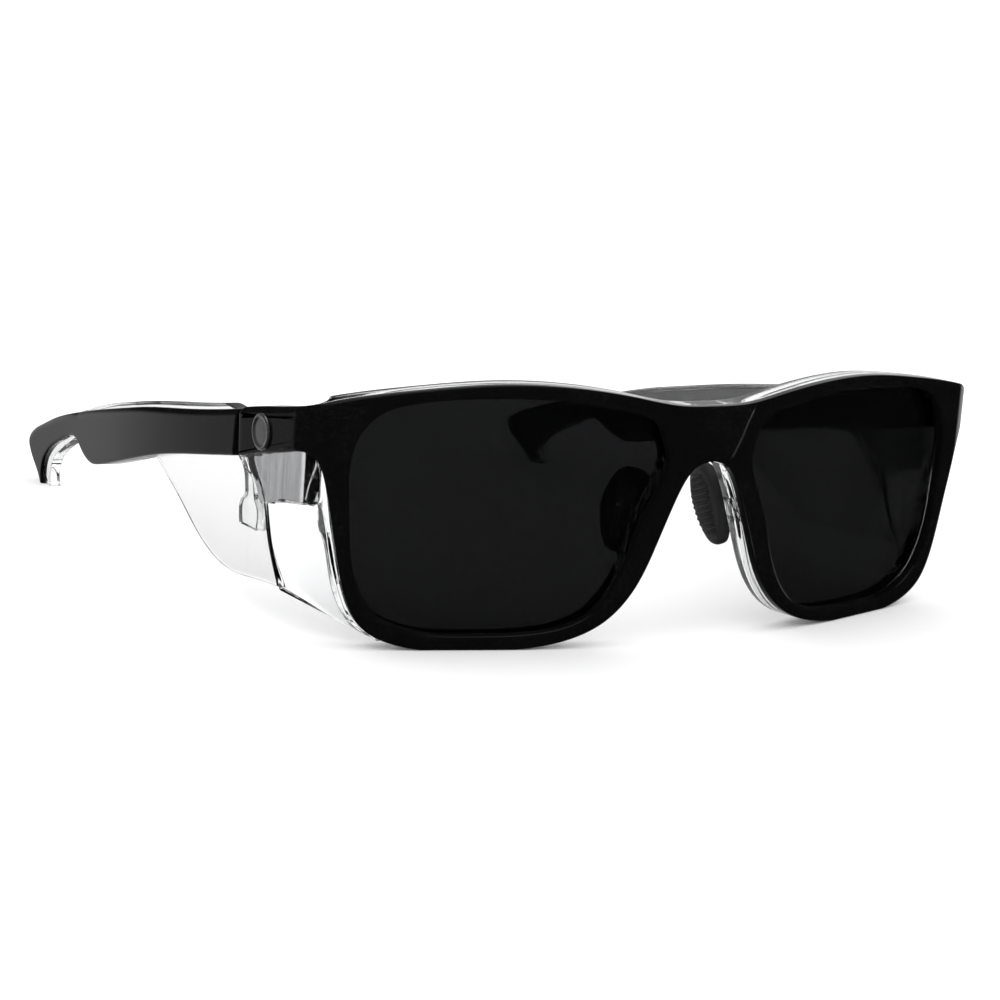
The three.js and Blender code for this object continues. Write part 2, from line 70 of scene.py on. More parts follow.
camera_data = bpy.data.cameras.new("camera")
camera_data.lens = CAMERA_LENS
camera_data.sensor_width = 36
camera_data.clip_start = 0.01
camera = bpy.data.objects.new("camera", camera_data)
camera.matrix_world = camera_matrix(CAMERA_PLACE, CAMERA_TURN, CAMERA_RISE, CAMERA_ROLL)
bpy.context.scene.collection.objects.link(camera)
bpy.context.scene.camera = camera

# ---- Front shell -------------------------------------------------------------------------------
# The black outer layer: both rims, the bridge and the endpieces in one injection-moulded piece
# of glossy nylon, wrapped round the face and bonded to the clear layer behind it.

MM = 0.001
HALF_WIDTH = 72.2
SAG_SQUARE, SAG_FOURTH = 0.00473, 3.69e-7
CORNER_RADIUS = 6.2
FRONT_END = 41.2
BASE_Z = -24.4
SHELL_THICK = 2.0
SHELL_ROUND, SHELL_BACK_ROUND, LENS_BEVEL = 0.75, 0.15, 0.95
RIM_TOP = [[0, 18.1], [7.5, 18.3], [15.7, 19.7], [27.5, 21.3], [39.4, 21.6], [53.3, 20.3], [64.1, 18.8]]
ENDPIECE_TOP = [[18.9, 16.8], [29, 14.9], [36.4, 13.6], [FRONT_END, 12.6]]
ENDPIECE_UNDER = [[40.6, 4.1], [37.6, 4.9], [31, 6.5], [22.6, 8.3]]
RIM_CREASE = [70.6, 8.7]
RIM_SIDE = [[68.6, 3.5], [66.7, -5], [64.8, -13.6], [61.5, -20.2], [54.7, -23.7], [42.3, -24.7],
            [29.4, -23.7], [18.8, -19.5], [13.4, -13.3], [10.3, -6.5], [7.7, 0.1], [5.6, 4.6],
            [3.2, 7.4], [0, 8.3]]
WALL_STEPS = 3
TOP_FLATTEN, FACE_CROWDING = 0.62, 1.6
LENS_LOOP = [[9.2, 11], [12.2, 15.4], [18.4, 17.4], [27.8, 18.8], [42.8, 19.1], [54.2, 18],
             [61.2, 15.2], [64.1, 10.4], [64.4, 0.9], [63, -10.8], [58.9, -18], [51.5, -21.4],
             [42.3, -21.9], [31, -21.4], [22, -18.4], [16.6, -11.6], [12.9, -1.4]]

shell_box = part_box("front_shell")
ORIGIN = np.array((0.0, shell_box[0][1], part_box("front_liner")[0][2] - BASE_Z * MM))


def placed(points):
    """Millimetres from the middle of the bridge's front face, made metres in the frame."""
    return np.asarray(points, float) * MM + ORIGIN


def spline(points, spacing=0.1, closed=False):
    """A cubic spline through points with continuous curvature, by chord length, resampled at an
    even spacing. Second derivatives come from one linear system; open ends are free."""
    points = np.asarray(points, float)
    if closed:
        points = np.vstack((points, points[:1]))
    chord = np.linalg.norm(np.diff(points, axis=0), axis=1)
    at = np.concatenate(([0], np.cumsum(chord)))
    count = len(points)
    system, target = np.zeros((count, count)), np.zeros((count, points.shape[1]))
    rise = np.diff(points, axis=0) / chord[:, None]
    inner = np.arange(1, count - 1)
    system[inner, inner - 1] = chord[:-1]
    system[inner, inner] = 2 * (chord[:-1] + chord[1:])
    system[inner, inner + 1] = chord[1:]
    target[inner] = 6 * (rise[1:] - rise[:-1])
    system[0, 0] = system[-1, -1] = 1
    if closed:
        system[0, [0, 1, -2, -1]] = (2 * chord[0], chord[0], chord[-1], 2 * chord[-1])
        target[0] = 6 * (rise[0] - rise[-1])
        system[-1, 0] = -1
    bend = np.linalg.solve(system, target)
    steps = np.linspace(0, at[-1], max(200, int(at[-1] / 0.03)))
    k = np.clip(np.searchsorted(at, steps, side="right") - 1, 0, count - 2)
    h, left, right = chord[k][:, None], (at[k + 1] - steps)[:, None], (steps - at[k])[:, None]
    run = (bend[k] * left ** 3 + bend[k + 1] * right ** 3) / (6 * h)
    run += (points[k] / h - bend[k] * h / 6) * left + (points[k + 1] / h - bend[k + 1] * h / 6) * right
    return resampled(run, spacing)


def lengths(run):
    """Distance along a run at each of its points."""
    return np.concatenate(([0], np.cumsum(np.linalg.norm(np.diff(run, axis=0), axis=1))))


def resampled(run, spacing):
    """The run at an even spacing, ends included."""
    at = lengths(run)
    steps = np.linspace(0, at[-1], int(round(at[-1] / spacing)) + 1)
    return np.stack([np.interp(steps, at, run[:, i]) for i in range(run.shape[1])], axis=1)


def softened(run, radius):
    """Corners rounded by averaging each point with its neighbours over about the given radius;
    the two ends, which lie on the middle plane, are mirrored first so that they keep their place."""
    spacing = lengths(run)[-1] / (len(run) - 1)
    reach = int(3 * radius / spacing)
    weights = np.exp(-0.5 * (np.arange(-reach, reach + 1) * spacing / radius) ** 2)
    mirror = np.array((-1, 1))
    padded = np.vstack((run[1:reach + 1][::-1] * mirror, run, run[-reach - 1:-1][::-1] * mirror))
    columns = [np.convolve(padded[:, i], weights / weights.sum(), mode="valid") for i in (0, 1)]
    result = np.stack(columns, axis=1)
    result[[0, -1], 0] = 0
    return result


def front_plan():
    """Plan of the left half of the front face: y = a x^2 - b x^4, an arc round the corner, then
    straight back. Returns distance along it, points, and unit normals that point inwards."""
    centre = HALF_WIDTH - CORNER_RADIUS
    corner_x = centre + 1.4
    lean = math.atan(2 * SAG_SQUARE * corner_x - 4 * SAG_FOURTH * corner_x ** 3)
    reach = centre + CORNER_RADIUS * math.sin(lean)
    x = np.linspace(0, reach, 900)
    face = np.stack((x, SAG_SQUARE * x ** 2 - SAG_FOURTH * x ** 4), axis=1)
    centre_y = face[-1, 1] + CORNER_RADIUS * math.cos(lean)
    angle = np.linspace(lean - math.pi / 2, 0, 160)[1:]
    arc = np.stack((centre + CORNER_RADIUS * np.cos(angle), centre_y + CORNER_RADIUS * np.sin(angle)), axis=1)
    y = np.linspace(centre_y, FRONT_END + 2, 60)[1:]
    plan = np.vstack((face, arc, np.stack((np.full_like(y, HALF_WIDTH), y), axis=1)))
    along = np.gradient(plan, lengths(plan), axis=0)
    along /= np.linalg.norm(along, axis=1)[:, None]
    along[0] = (1, 0)
    return lengths(plan), plan, np.stack((-along[:, 1], along[:, 0]), axis=1)


PLAN_AT, PLAN, PLAN_NORMAL = front_plan()


def unrolled(pairs, axis):
    """(x, z) or (y, z) pairs as (distance along the plan, z)."""
    pairs = np.asarray(pairs, float)
    reference = PLAN[:, axis] + np.arange(len(PLAN)) * 1e-9
    return np.stack((np.interp(pairs[:, 0], reference, PLAN_AT), pairs[:, 1]), axis=1)


def bent(flat, depth):
    """Wraps flat (distance, z) points onto the plan, at a depth below the front face."""
    u = np.clip(flat[..., 0], 0, None)
    point = np.stack([np.interp(u, PLAN_AT, PLAN[:, i]) for i in (0, 1)], axis=-1)
    normal = np.stack([np.interp(u, PLAN_AT, PLAN_NORMAL[:, i]) for i in (0, 1)], axis=-1)
    normal /= np.linalg.norm(normal, axis=-1)[..., None]
    place = point + normal * depth[..., None]
    place[..., 0] = np.where(flat[..., 0] <= 1e-9, 0, place[..., 0])
    return np.concatenate((place, flat[..., 1:2]), axis=-1)


def edge_normals(run, closed=False):
    """Left-hand unit normals of a run."""
    if closed:
        along = np.roll(run, -1, axis=0) - np.roll(run, 1, axis=0)
    else:
        along = np.gradient(run, axis=0)
    along /= np.linalg.norm(along, axis=1)[:, None]
    return np.stack((-along[:, 1], along[:, 0]), axis=1)


def half_outline(under, crease, soft=0.45):
    """Outer edge of the left half, unrolled, from the bridge top round the endpiece to the arch."""
    top = spline(np.vstack((unrolled(RIM_TOP, 0), unrolled(ENDPIECE_TOP, 1))))
    below = spline(np.vstack((unrolled(under, 1), unrolled([crease], 0), unrolled(RIM_SIDE, 0))))
    below = below[np.argmax(below[:, 0] < top[-1, 0]):]
    run = softened(resampled(np.vstack((top, below)), 0.1), soft)
    run[:, 1] = np.maximum(run[:, 1], BASE_Z)
    return run


def turning(run, strength=2.5):
    """Distance along a run, stretched where it turns, so that points gather at its corners."""
    step = np.diff(run, axis=0)
    size = np.linalg.norm(step, axis=1)
    angle = np.unwrap(np.arctan2(step[:, 1], step[:, 0]))
    bend = np.abs(np.gradient(angle)) / np.maximum(size, 1e-6)
    bend = np.convolve(np.minimum(bend, 1.2), np.ones(9) / 9, mode="same")
    return np.concatenate(([0], np.cumsum(size * (1 + strength * bend))))


def matched(outer_at, outer, inner, keys):
    """Distance along the inner run for each distance along the outer one, by pairs of points."""
    outer_run, inner_run = lengths(outer), lengths(inner)
    nearest = lambda run, point: np.argmin(np.sum((run - np.asarray(point)) ** 2, axis=1))
    a = np.array([outer_run[nearest(outer, key[0])] for key in keys])
    b = np.array([inner_run[nearest(inner, key[1])] for key in keys])
    return np.interp(outer_at, a, b)


def along_run(run, at):
    """Points of a run at the given distances."""
    return np.stack([np.interp(at, lengths(run), run[:, i]) for i in range(run.shape[1])], axis=1)


def eased(ramp):
    """A ramp held between 0 and 1, with soft ends: 3 r^2 - 2 r^3."""
    ramp = np.clip(ramp, 0, 1)
    return ramp * ramp * (3 - 2 * ramp)


def averaged(values, reach):
    """Each value averaged with that many neighbours on both sides; the end values repeat."""
    width = 2 * reach + 1
    return np.convolve(np.pad(values, reach, mode="edge"), np.ones(width) / width, mode="valid")


def spanned(a, b, in_a, in_b, share, inset, grow_a=0):
    """Points between two edges: each lies an inset in from edge a and from edge b, and the two are
    blended by its share of b."""
    from_a = a[:, None] + in_a[:, None] * (inset + grow_a)[..., None]
    from_b = b[:, None] + in_b[:, None] * inset[..., None]
    return from_a * (1 - share)[None, :, None] + from_b * share[None, :, None]


def end_shrink(edge, cap, width):
    """How far a section shrinks at a distance from its rounded end: a quarter circle of radius cap,
    and at most a fifth of the width."""
    shrink = np.where(edge < cap, cap - np.sqrt(np.maximum(cap ** 2 - (cap - edge) ** 2, 0)), 0)
    return np.minimum(shrink, width * 0.2)


def band_section(near, far, front_a, front_b, back_a, back_b, faces=44, corners=6,
                 crowding=1.0, flatten=1.0):
    """Outline of a cross-section that spans from edge a to edge b, with rounded corners. Gives, at
    every point, the share of edge b, the inset from the nearer edge, and the depth. Front corners
    are quarter ellipses, flattened in depth; crowding gathers the face points near edge a."""
    zero = np.zeros_like(near)
    turn = np.linspace(0, math.pi / 2, corners + 1)
    face = np.linspace(0, 1, faces + 1) ** crowding
    wall = np.linspace(0, 1, WALL_STEPS + 1)[1:-1]
    front = [(m, front_a + (front_b - front_a) * m, near) for m in face]
    back = [(1 - m, back_b + (back_a - back_b) * m, far) for m in face]

    def side(share, front_radius, back_radius):
        front_drop = front_radius * flatten
        first = [(share, front_radius * (1 - math.sin(t)), near + front_drop * (1 - math.cos(t)))
                 for t in turn[1:]]
        straight = [(share, zero, near + front_drop + (far - back_radius - near - front_drop) * w)
                    for w in wall]
        last = [(share, back_radius * (1 - math.cos(t)), far - back_radius * (1 - math.sin(t)))
                for t in turn[:-1]]
        return first + straight + last

    ring = front + side(1, front_b, back_b) + back + side(0, front_a, back_a)[::-1]
    share = np.array([m for m, _, _ in ring])
    inset = np.stack([zero + i for _, i, _ in ring], axis=1)
    depth = np.stack([zero + d for _, _, d in ring], axis=1)
    return share, inset, depth


def mesh_piece(name, vertices, faces, materials=()):
    """A smooth-shaded object from points in metres and lists of faces."""
    mesh = bpy.data.meshes.new(name)
    mesh.from_pydata(np.asarray(vertices).tolist(), [], faces)
    mesh.update()
    mesh.polygons.foreach_set("use_smooth", np.ones(len(mesh.polygons), bool))
    for material in materials:
        mesh.materials.append(material)
    piece = bpy.data.objects.new(name, mesh)
    bpy.context.scene.collection.objects.link(piece)
    return piece


def grid_faces(rows, columns, rows_closed=False, first=0):
    """Four-sided faces between neighbouring rings; points of a ring always close on themselves."""
    i = np.arange(rows if rows_closed else rows - 1)[:, None]
    j = np.arange(columns)[None, :]
    next_i, next_j = (i + 1) % rows, (j + 1) % columns
    corners = [i * columns + j, next_i * columns + j, next_i * columns + next_j, i * columns + next_j]
    return (np.stack(np.broadcast_arrays(*corners), axis=-1).reshape(-1, 4) + first).tolist()


def capped_faces(rows, columns, first=0):
    """Faces of a tube of rings whose two ends are closed by one flat face each."""
    ends = [list(range(columns)), list(range((rows - 1) * columns, rows * columns))[::-1]]
    return grid_faces(rows, columns, first=first) + [[v + first for v in end] for end in ends]


def turned_outward(piece):
    """Makes every face of a closed piece point away from its inside."""
    work = bmesh.new()
    work.from_mesh(piece.data)
    bmesh.ops.remove_doubles(work, verts=work.verts, dist=1e-7)
    bmesh.ops.dissolve_degenerate(work, dist=1e-8, edges=work.edges)
    bmesh.ops.recalc_face_normals(work, faces=work.faces)
    work.to_mesh(piece.data)
    work.free()
    piece.data.update()
    return piece


def mirrored_whole(name, rings, material):
    """One piece from the grid of its left half: faces in the middle plane are dropped, and the
    half is mirrored and welded along the open edge that this leaves."""
    rows, columns = rings.shape[:2]
    points = rings.reshape(-1, 3)
    faces = np.array(grid_faces(rows, columns, rows_closed=True))
    faces = faces[~np.all(np.abs(points[faces][..., 0]) < 1e-9, axis=1)]
    used, faces = np.unique(faces, return_inverse=True)
    faces = faces.reshape(-1, 4)
    points = points[used]
    both = np.vstack((points, points * (-1, 1, 1)))
    both_faces = faces.tolist() + (faces[:, ::-1] + len(points)).tolist()
    return turned_outward(mesh_piece(name, placed(both), both_faces, [material]))


SWELL_START, SWELL_EASE, SWELL_ABOVE = 70, 9, 11.5


def rim_grid(outline, opening, keys, section, relief=None, columns=300):
    """Rings of a rim: each joins a point of the lens opening to a point of the outer edge, which
    runs back up the middle plane at the bridge. Radii fade to nothing along that plane, and swell
    along the top of the endpiece. A rebate widens the opening down to its depth."""
    top, bottom = outline[0], outline[-1]
    at = np.interp(np.linspace(0, 1, columns), turning(outline) / turning(outline)[-1], lengths(outline))
    edge = along_run(outline, at)
    normal = -np.stack([np.interp(at, lengths(outline), edge_normals(outline)[:, i]) for i in (0, 1)], axis=1)
    normal[0], normal[-1] = (0, -1), (0, 1)
    radius = section["front_b"]
    middle_z = np.linspace(bottom[1] + radius, top[1] - radius, 18)
    middle = np.stack((np.zeros_like(middle_z), middle_z), axis=1)
    edge = np.vstack((edge, middle))
    normal = np.vstack((normal, np.zeros_like(middle)))
    whole = np.vstack((outline, [[0, top[1]]]))
    whole_at = np.concatenate((at, lengths(outline)[-1] + (middle_z - bottom[1])))
    inner_at = averaged(matched(whole_at, whole, opening, keys), 8)
    inner = along_run(opening, inner_at)
    inner_normal = np.stack([np.interp(inner_at, lengths(opening), edge_normals(opening)[:, i])
                             for i in (0, 1)], axis=1)
    count = len(edge)
    fade = np.concatenate((np.ones(columns), np.zeros(len(middle))))
    along_top = (np.clip((edge[:, 0] - SWELL_START) / SWELL_EASE, 0, 1)
                 * np.clip((edge[:, 1] - SWELL_ABOVE) / 0.8, 0, 1))
    radius = radius * (1 + section["top_swell"] * along_top)
    near, far = np.full(count, section["near"]), section["far"](edge[:, 0])
    share, inset, depth = band_section(
        near, far, np.full(count, section["front_a"]), radius * fade,
        np.full(count, section["back"]), section["back"] * fade, faces=section["faces"],
        crowding=FACE_CROWDING, flatten=TOP_FLATTEN)
    grow = np.where(depth < section["rebate_depth"], section["rebate"], 0)
    flat = spanned(inner, edge, inner_normal, normal, share, inset, grow)
    if relief is not None:
        front = np.clip(1 - (depth - near[:, None]) / 0.3, 0, 1)
        depth = depth + relief(flat[..., 0], flat[..., 1]) * front
    return bent(flat, depth)


KEYSTONE_TOP, KEYSTONE_FOOT, KEYSTONE_RAISE = 8.6, 3.6, 0.5
SHOULDER_END, SHOULDER_EASE = 21.0, 10.0


def keystone(u, z):
    """A shallow facet left standing on the bridge, wide at the top and narrow at the arch: the
    shoulders beside it are sunk, most at its sides and fading to nothing over the lenses."""
    arch_z, top_z = RIM_SIDE[-1][1], RIM_TOP[0][1]
    level = np.clip((z - arch_z) / (top_z - arch_z), 0, 1)
    half = KEYSTONE_FOOT + (KEYSTONE_TOP - KEYSTONE_FOOT) * level ** 0.8
    facet = eased((half - u) / (1.7 - 0.9 * level) + 0.5)
    return KEYSTONE_RAISE * (1 - facet) * eased((SHOULDER_END - u) / SHOULDER_EASE)


def opening_run(grow=0.0):
    """The left lens opening, unrolled and closed, starting at the bridge; grown outwards by a distance."""
    loop = spline(unrolled(LENS_LOOP, 0), 0.1, closed=True)
    if grow:
        loop = loop + edge_normals(loop, closed=True) * grow
    return loop


def paired(arm_keys):
    """Points of the outer edge paired with points of the lens opening, both unrolled; the pairs
    under the endpiece differ between the two layers."""
    flat = lambda x, z: unrolled([[x, z]], 0)[0]
    arm = lambda y, z: unrolled([[y, z]], 1)[0]
    return [
        (flat(0, 18.1), flat(10.4, 13.6)), (flat(11, 18.8), flat(14.6, 16.4)),
        (flat(27.5, 21.3), flat(27.8, 18.8)), (flat(53.3, 20.3), flat(51.6, 18.4)),
        (flat(64.1, 18.8), flat(57, 17.2)), (arm(22, 16.2), flat(59.6, 16.1)),
        (arm(FRONT_END, 12.6), flat(61, 15.3))] + [
        (arm(y, z), flat(*end)) for (y, z), end in arm_keys] + [
        (flat(66.7, -5), flat(63.8, -5.4)), (flat(61.5, -20.2), flat(58.9, -18)),
        (flat(42.3, -24.4), flat(42.3, -21.9)), (flat(18.8, -19.5), flat(21.4, -18)),
        (flat(10.3, -6.5), flat(14.4, -5.6)), (flat(5.6, 4.6), flat(10.4, 5.2)),
        (flat(0, 8.3), flat(9.3, 9.6))]


def opening_from_bridge(loop, start):
    """The closed loop cut open at the point nearest to start, so that it can be matched in order."""
    first = np.argmin(np.sum((loop - start) ** 2, axis=1))
    turned = np.roll(loop[:-1], -first, axis=0)
    return np.vstack((turned, turned[:1]))


def node_group(name, inputs, outputs):
    """An empty shader node group with named number inputs and outputs, and its two end nodes."""
    group = bpy.data.node_groups.new(name, "ShaderNodeTree")
    for label, kind, value in inputs:
        socket = group.interface.new_socket(label, in_out="INPUT", socket_type=kind)
        if value is not None:
            socket.default_value = value
    for label, kind in outputs:
        group.interface.new_socket(label, in_out="OUTPUT", socket_type=kind)
    return group, group.nodes.new("NodeGroupInput"), group.nodes.new("NodeGroupOutput")


def math_node(tree, operation, first, second=None):
    """One Math node; each of its inputs is a socket or a number."""
    node = tree.nodes.new("ShaderNodeMath")
    node.operation = operation
    for index, value in enumerate((first, second)):
        if isinstance(value, (int, float)):
            node.inputs[index].default_value = value
        elif value is not None:
            tree.links.new(value, node.inputs[index])
    return node.outputs[0]


def plus(tree, first, second):
    """The sum of two values."""
    return math_node(tree, "ADD", first, second)


def times(tree, first, second):
    """The product of two values."""
    return math_node(tree, "MULTIPLY", first, second)


def without(tree, value):
    """What a 0-1 value leaves of 1."""
    return math_node(tree, "SUBTRACT", 1.0, value)


def noise_node(tree, vector, scale, detail=3.0, roughness=0.5):
    """One Noise Texture read at a vector."""
    node = tree.nodes.new("ShaderNodeTexNoise")
    node.inputs["Scale"].default_value = scale
    node.inputs["Detail"].default_value = detail
    node.inputs["Roughness"].default_value = roughness
    tree.links.new(vector, node.inputs["Vector"])
    return node.outputs["Fac"]


def stretched(tree, vector, scale, turn=(0, 0, 0)):
    """The vector turned and scaled, for noise that runs in streaks."""
    mapping = tree.nodes.new("ShaderNodeMapping")
    mapping.inputs["Rotation"].default_value = turn
    mapping.inputs["Scale"].default_value = scale
    tree.links.new(vector, mapping.inputs["Vector"])
    return mapping.outputs["Vector"]


def axes(tree, vector):
    """The X, Y and Z outputs of a vector."""
    split = tree.nodes.new("ShaderNodeSeparateXYZ")
    tree.links.new(vector, split.inputs["Vector"])
    return split.outputs


SCUFF_LEVEL, SCUFF_SHARPNESS = 0.62, 60.0
DUST_LEVEL, DUST_SHARPNESS = 0.69, 18.0


def handling_marks():
    """Marks of handling: hairline scuffs where stretched noise crosses a level, and specks of dust
    where a fine noise peaks. Outputs a scuff mask, a dust mask, and a soft moulding unevenness."""
    group, given, result = node_group(
        "handling_marks",
        [("Vector", "NodeSocketVector", None), ("Scuff", "NodeSocketFloat", 0.5),
         ("Dust", "NodeSocketFloat", 0.5)],
        [("Scuffs", "NodeSocketFloat"), ("Specks", "NodeSocketFloat"), ("Unevenness", "NodeSocketFloat")])
    place = given.outputs["Vector"]
    masks = []
    for turn, stretch in (((0.3, 0.5, 0.2), (240, 1900, 1900)), ((1.1, -0.4, 0.9), (1700, 220, 1700))):
        lines = noise_node(group, stretched(group, place, stretch, turn), 1.0, 1.0)
        distance = math_node(group, "ABSOLUTE", math_node(group, "SUBTRACT", lines, SCUFF_LEVEL))
        masks.append(without(group, times(group, distance, SCUFF_SHARPNESS)))
    crossed = math_node(group, "MAXIMUM", math_node(group, "MAXIMUM", masks[0], masks[1]), 0.0)
    patch = math_node(group, "GREATER_THAN", noise_node(group, place, 70.0, 2.0), 0.55)
    scuffs = times(group, times(group, crossed, patch), given.outputs["Scuff"])
    peaks = math_node(group, "SUBTRACT", noise_node(group, place, 2600.0, 2.0, 0.6), DUST_LEVEL)
    speck = math_node(group, "MAXIMUM", times(group, peaks, DUST_SHARPNESS), 0.0)
    specks = math_node(group, "MINIMUM", times(group, speck, given.outputs["Dust"]), 1.0)
    broad = noise_node(group, place, 55.0, 3.0)
    for label, value in (("Scuffs", scuffs), ("Specks", specks), ("Unevenness", broad)):
        group.links.new(value, result.inputs[label])
    return group


MARKS = handling_marks()


def new_material(name, **settings):
    """A material with one Principled shader; settings go straight onto the shader's own sockets."""
    material = bpy.data.materials.new(name)
    material.use_nodes = True
    tree = material.node_tree
    shader = next(node for node in tree.nodes if node.type == "BSDF_PRINCIPLED")
    for label, value in settings.items():
        shader.inputs[label.replace("_", " ")].default_value = value
    return material, tree, shader


def marks_in(tree, scuff, dust):
    """The handling marks group placed in a material, read in Object coordinates."""
    coordinates = tree.nodes.new("ShaderNodeTexCoord")
    marks = tree.nodes.new("ShaderNodeGroup")
    marks.node_tree = MARKS
    marks.inputs["Scuff"].default_value = scuff
    marks.inputs["Dust"].default_value = dust
    tree.links.new(coordinates.outputs["Object"], marks.inputs["Vector"])
    return marks, coordinates.outputs["Object"]


def ranged(tree, value, low, high):
    """A 0-1 value moved to a range of values."""
    node = tree.nodes.new("ShaderNodeMapRange")
    node.inputs["To Min"].default_value = low
    node.inputs["To Max"].default_value = high
    tree.links.new(value, node.inputs["Value"])
    return node.outputs["Result"]


def smooth_step(tree, value, low, high):
    """A soft step from 0 at low to 1 at high."""
    node = tree.nodes.new("ShaderNodeMapRange")
    node.interpolation_type = "SMOOTHSTEP"
    node.inputs["From Min"].default_value = low
    node.inputs["From Max"].default_value = high
    tree.links.new(value, node.inputs["Value"])
    return node.outputs["Result"]


def coloured(tree, shader, mask, first, second):
    """The shader's colour, between two by a mask; each of them is a socket or a colour."""
    node = tree.nodes.new("ShaderNodeMix")
    node.data_type = "RGBA"
    for label, colour in (("A", first), ("B", second)):
        if isinstance(colour, tuple):
            node.inputs[label].default_value = (*colour, 1)
        else:
            tree.links.new(colour, node.inputs[label])
    tree.links.new(mask, node.inputs["Factor"])
    tree.links.new(node.outputs["Result"], shader.inputs["Base Color"])


def worn(tree, marks):
    """Scuffs and specks together, at most 1."""
    return math_node(tree, "MINIMUM", plus(tree, marks.outputs["Scuffs"], marks.outputs["Specks"]), 1.0)


def roughened(tree, shader, value, low, high, wear, amount):
    """The shader's roughness: a 0-1 value moved to a range, rougher by an amount where worn."""
    rough = plus(tree, ranged(tree, value, low, high), times(tree, wear, amount))
    tree.links.new(rough, shader.inputs["Roughness"])


def shaded(colour, share):
    """The colour, darker or lighter by a share."""
    return tuple(channel * share for channel in colour)


def raised(tree, shader, height, strength, distance):
    """A Bump node from a height to the shader's normal."""
    bump = tree.nodes.new("ShaderNodeBump")
    bump.inputs["Strength"].default_value = strength
    bump.inputs["Distance"].default_value = distance
    tree.links.new(height, bump.inputs["Height"])
    tree.links.new(bump.outputs["Normal"], shader.inputs["Normal"])


def gloss_black():
    """Glossy black nylon: near-black, a little lighter under dust, rougher on hairline scuffs."""
    material, tree, shader = new_material("gloss_black", IOR=1.5, Specular_IOR_Level=0.42)
    marks, _ = marks_in(tree, 0.5, 0.55)
    wear = times(tree, worn(tree, marks), 0.25)
    coloured(tree, shader, wear, (0.0022, 0.0022, 0.0024), (0.05, 0.05, 0.052))
    uneven = marks.outputs["Unevenness"]
    roughened(tree, shader, uneven, 0.05, 0.13, marks.outputs["Scuffs"], 0.22)
    raised(tree, shader, uneven, 0.12, 0.00012)
    return material


BLACK = gloss_black()
shell_outline = half_outline(ENDPIECE_UNDER, RIM_CREASE)
opening = opening_run()
start_of_opening = unrolled([[10.4, 13.6]], 0)[0]
shell_keys = paired([((40.8, 4.3), (62.4, 14)), ((31, 6.5), (63.4, 12.6)), ((22.6, 8.3), (64, 11)),
                     ((16, 8.9), (64.3, 9)), ((14.4, 5), (64.5, 5))])
shell_grid = rim_grid(
    shell_outline, opening_from_bridge(opening, start_of_opening), shell_keys,
    {"near": 0.0, "far": lambda u: np.full_like(u, SHELL_THICK), "front_a": LENS_BEVEL,
     "front_b": SHELL_ROUND, "back": SHELL_BACK_ROUND, "rebate": 0, "rebate_depth": 0,
     "top_swell": 1.6, "faces": 48}, keystone)
front_shell = mirrored_whole("front_shell_moulding", shell_grid, BLACK)
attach(front_shell, "front")
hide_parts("front_shell")

# ---- Front liner -------------------------------------------------------------------------------
# The clear inner layer of polycarbonate behind the black one. It holds the lenses in a rebate,
# shows as a bright rim above and below the black, and drops to a boss under each endpiece.

LINER_NEAR, RIM_FAR, ARM_FAR = 2.04, 6.0, 5.7
REBATE, REBATE_DEPTH = 1.3, 4.9
POLYCARBONATE_IOR = 1.585
LINER_UNDER = [[40.6, 3.6], [38.6, 1.2], [36.6, -0.9], [35.3, -2.9], [31.2, -2.1], [25.6, -1]]
LINER_CREASE = [69.6, 0.6]


def clear_plastic(name, tone, rough):
    """Clear polycarbonate: refracting, faintly grey, with dust, hairline scuffs and flow marks."""
    material, tree, shader = new_material(name, IOR=POLYCARBONATE_IOR, Transmission_Weight=1.0)
    marks, _ = marks_in(tree, 0.6, 0.5)
    wear = worn(tree, marks)
    coloured(tree, shader, wear, tone, shaded(tone, 0.9))
    roughened(tree, shader, marks.outputs["Unevenness"], rough * 0.5, rough * 1.5, wear, 0.16)
    raised(tree, shader, marks.outputs["Unevenness"], 0.25, 0.0002)
    return material


CLEAR_TONE, CLEAR_ROUGH = (0.93, 0.935, 0.94), 0.03
CLEAR = clear_plastic("clear_polycarbonate", CLEAR_TONE, CLEAR_ROUGH)
# The boss tone below is painted shade: grey laid into the clear boss under each endpiece for the darkness
# seen through its thick moulding, not a colour of the plastic.
BOSS_SHADE_TONE = (0.09, 0.09, 0.095)
BOSS_HALF_WIDTH, BOSS_FRONT, BOSS_TOP = 60, 19.5, 10.5
BOSS_FOOT_Y, BOSS_FOOT_Z, BOSS_FOOT_FALL = 25.6, -1.1, 0.2


def painted_boss_shade(material):
    """Paints shade on the boss under each endpiece: grey in soft upright streaks, standing in for the
    darkness that shows through its thick clear moulding. The boss is outside a half width, behind a front,
    below a top and above a foot that falls rearwards."""
    tree = material.node_tree
    shader = next(node for node in tree.nodes if node.type == "BSDF_PRINCIPLED")
    plain = shader.inputs["Base Color"].links[0].from_socket
    place = next(node for node in tree.nodes if node.type == "TEX_COORD").outputs["Object"]
    x, y, z = axes(tree, place)
    _, front, top = placed([0, BOSS_FRONT, BOSS_TOP])
    _, foot_y, foot_z = placed([0, BOSS_FOOT_Y, BOSS_FOOT_Z])
    half = BOSS_HALF_WIDTH * MM
    foot = foot_z + BOSS_FOOT_FALL * foot_y
    sides = smooth_step(tree, math_node(tree, "ABSOLUTE", x), half, half + 0.5 * MM)
    behind = smooth_step(tree, y, front, front + 1.5 * MM)
    above = smooth_step(tree, plus(tree, z, times(tree, y, BOSS_FOOT_FALL)), foot - 0.1 * MM, foot + 0.1 * MM)
    below = without(tree, smooth_step(tree, z, top, top + MM))
    streaks = noise_node(tree, stretched(tree, place, (60, 420, 26)), 1.0, 3.0, 0.6)
    mask = math_node(tree, "MINIMUM", ranged(tree, streaks, 0.45, 1.15), 1.0)
    for bound in (sides, behind, above, below):
        mask = times(tree, mask, bound)
    coloured(tree, shader, mask, plain, BOSS_SHADE_TONE)


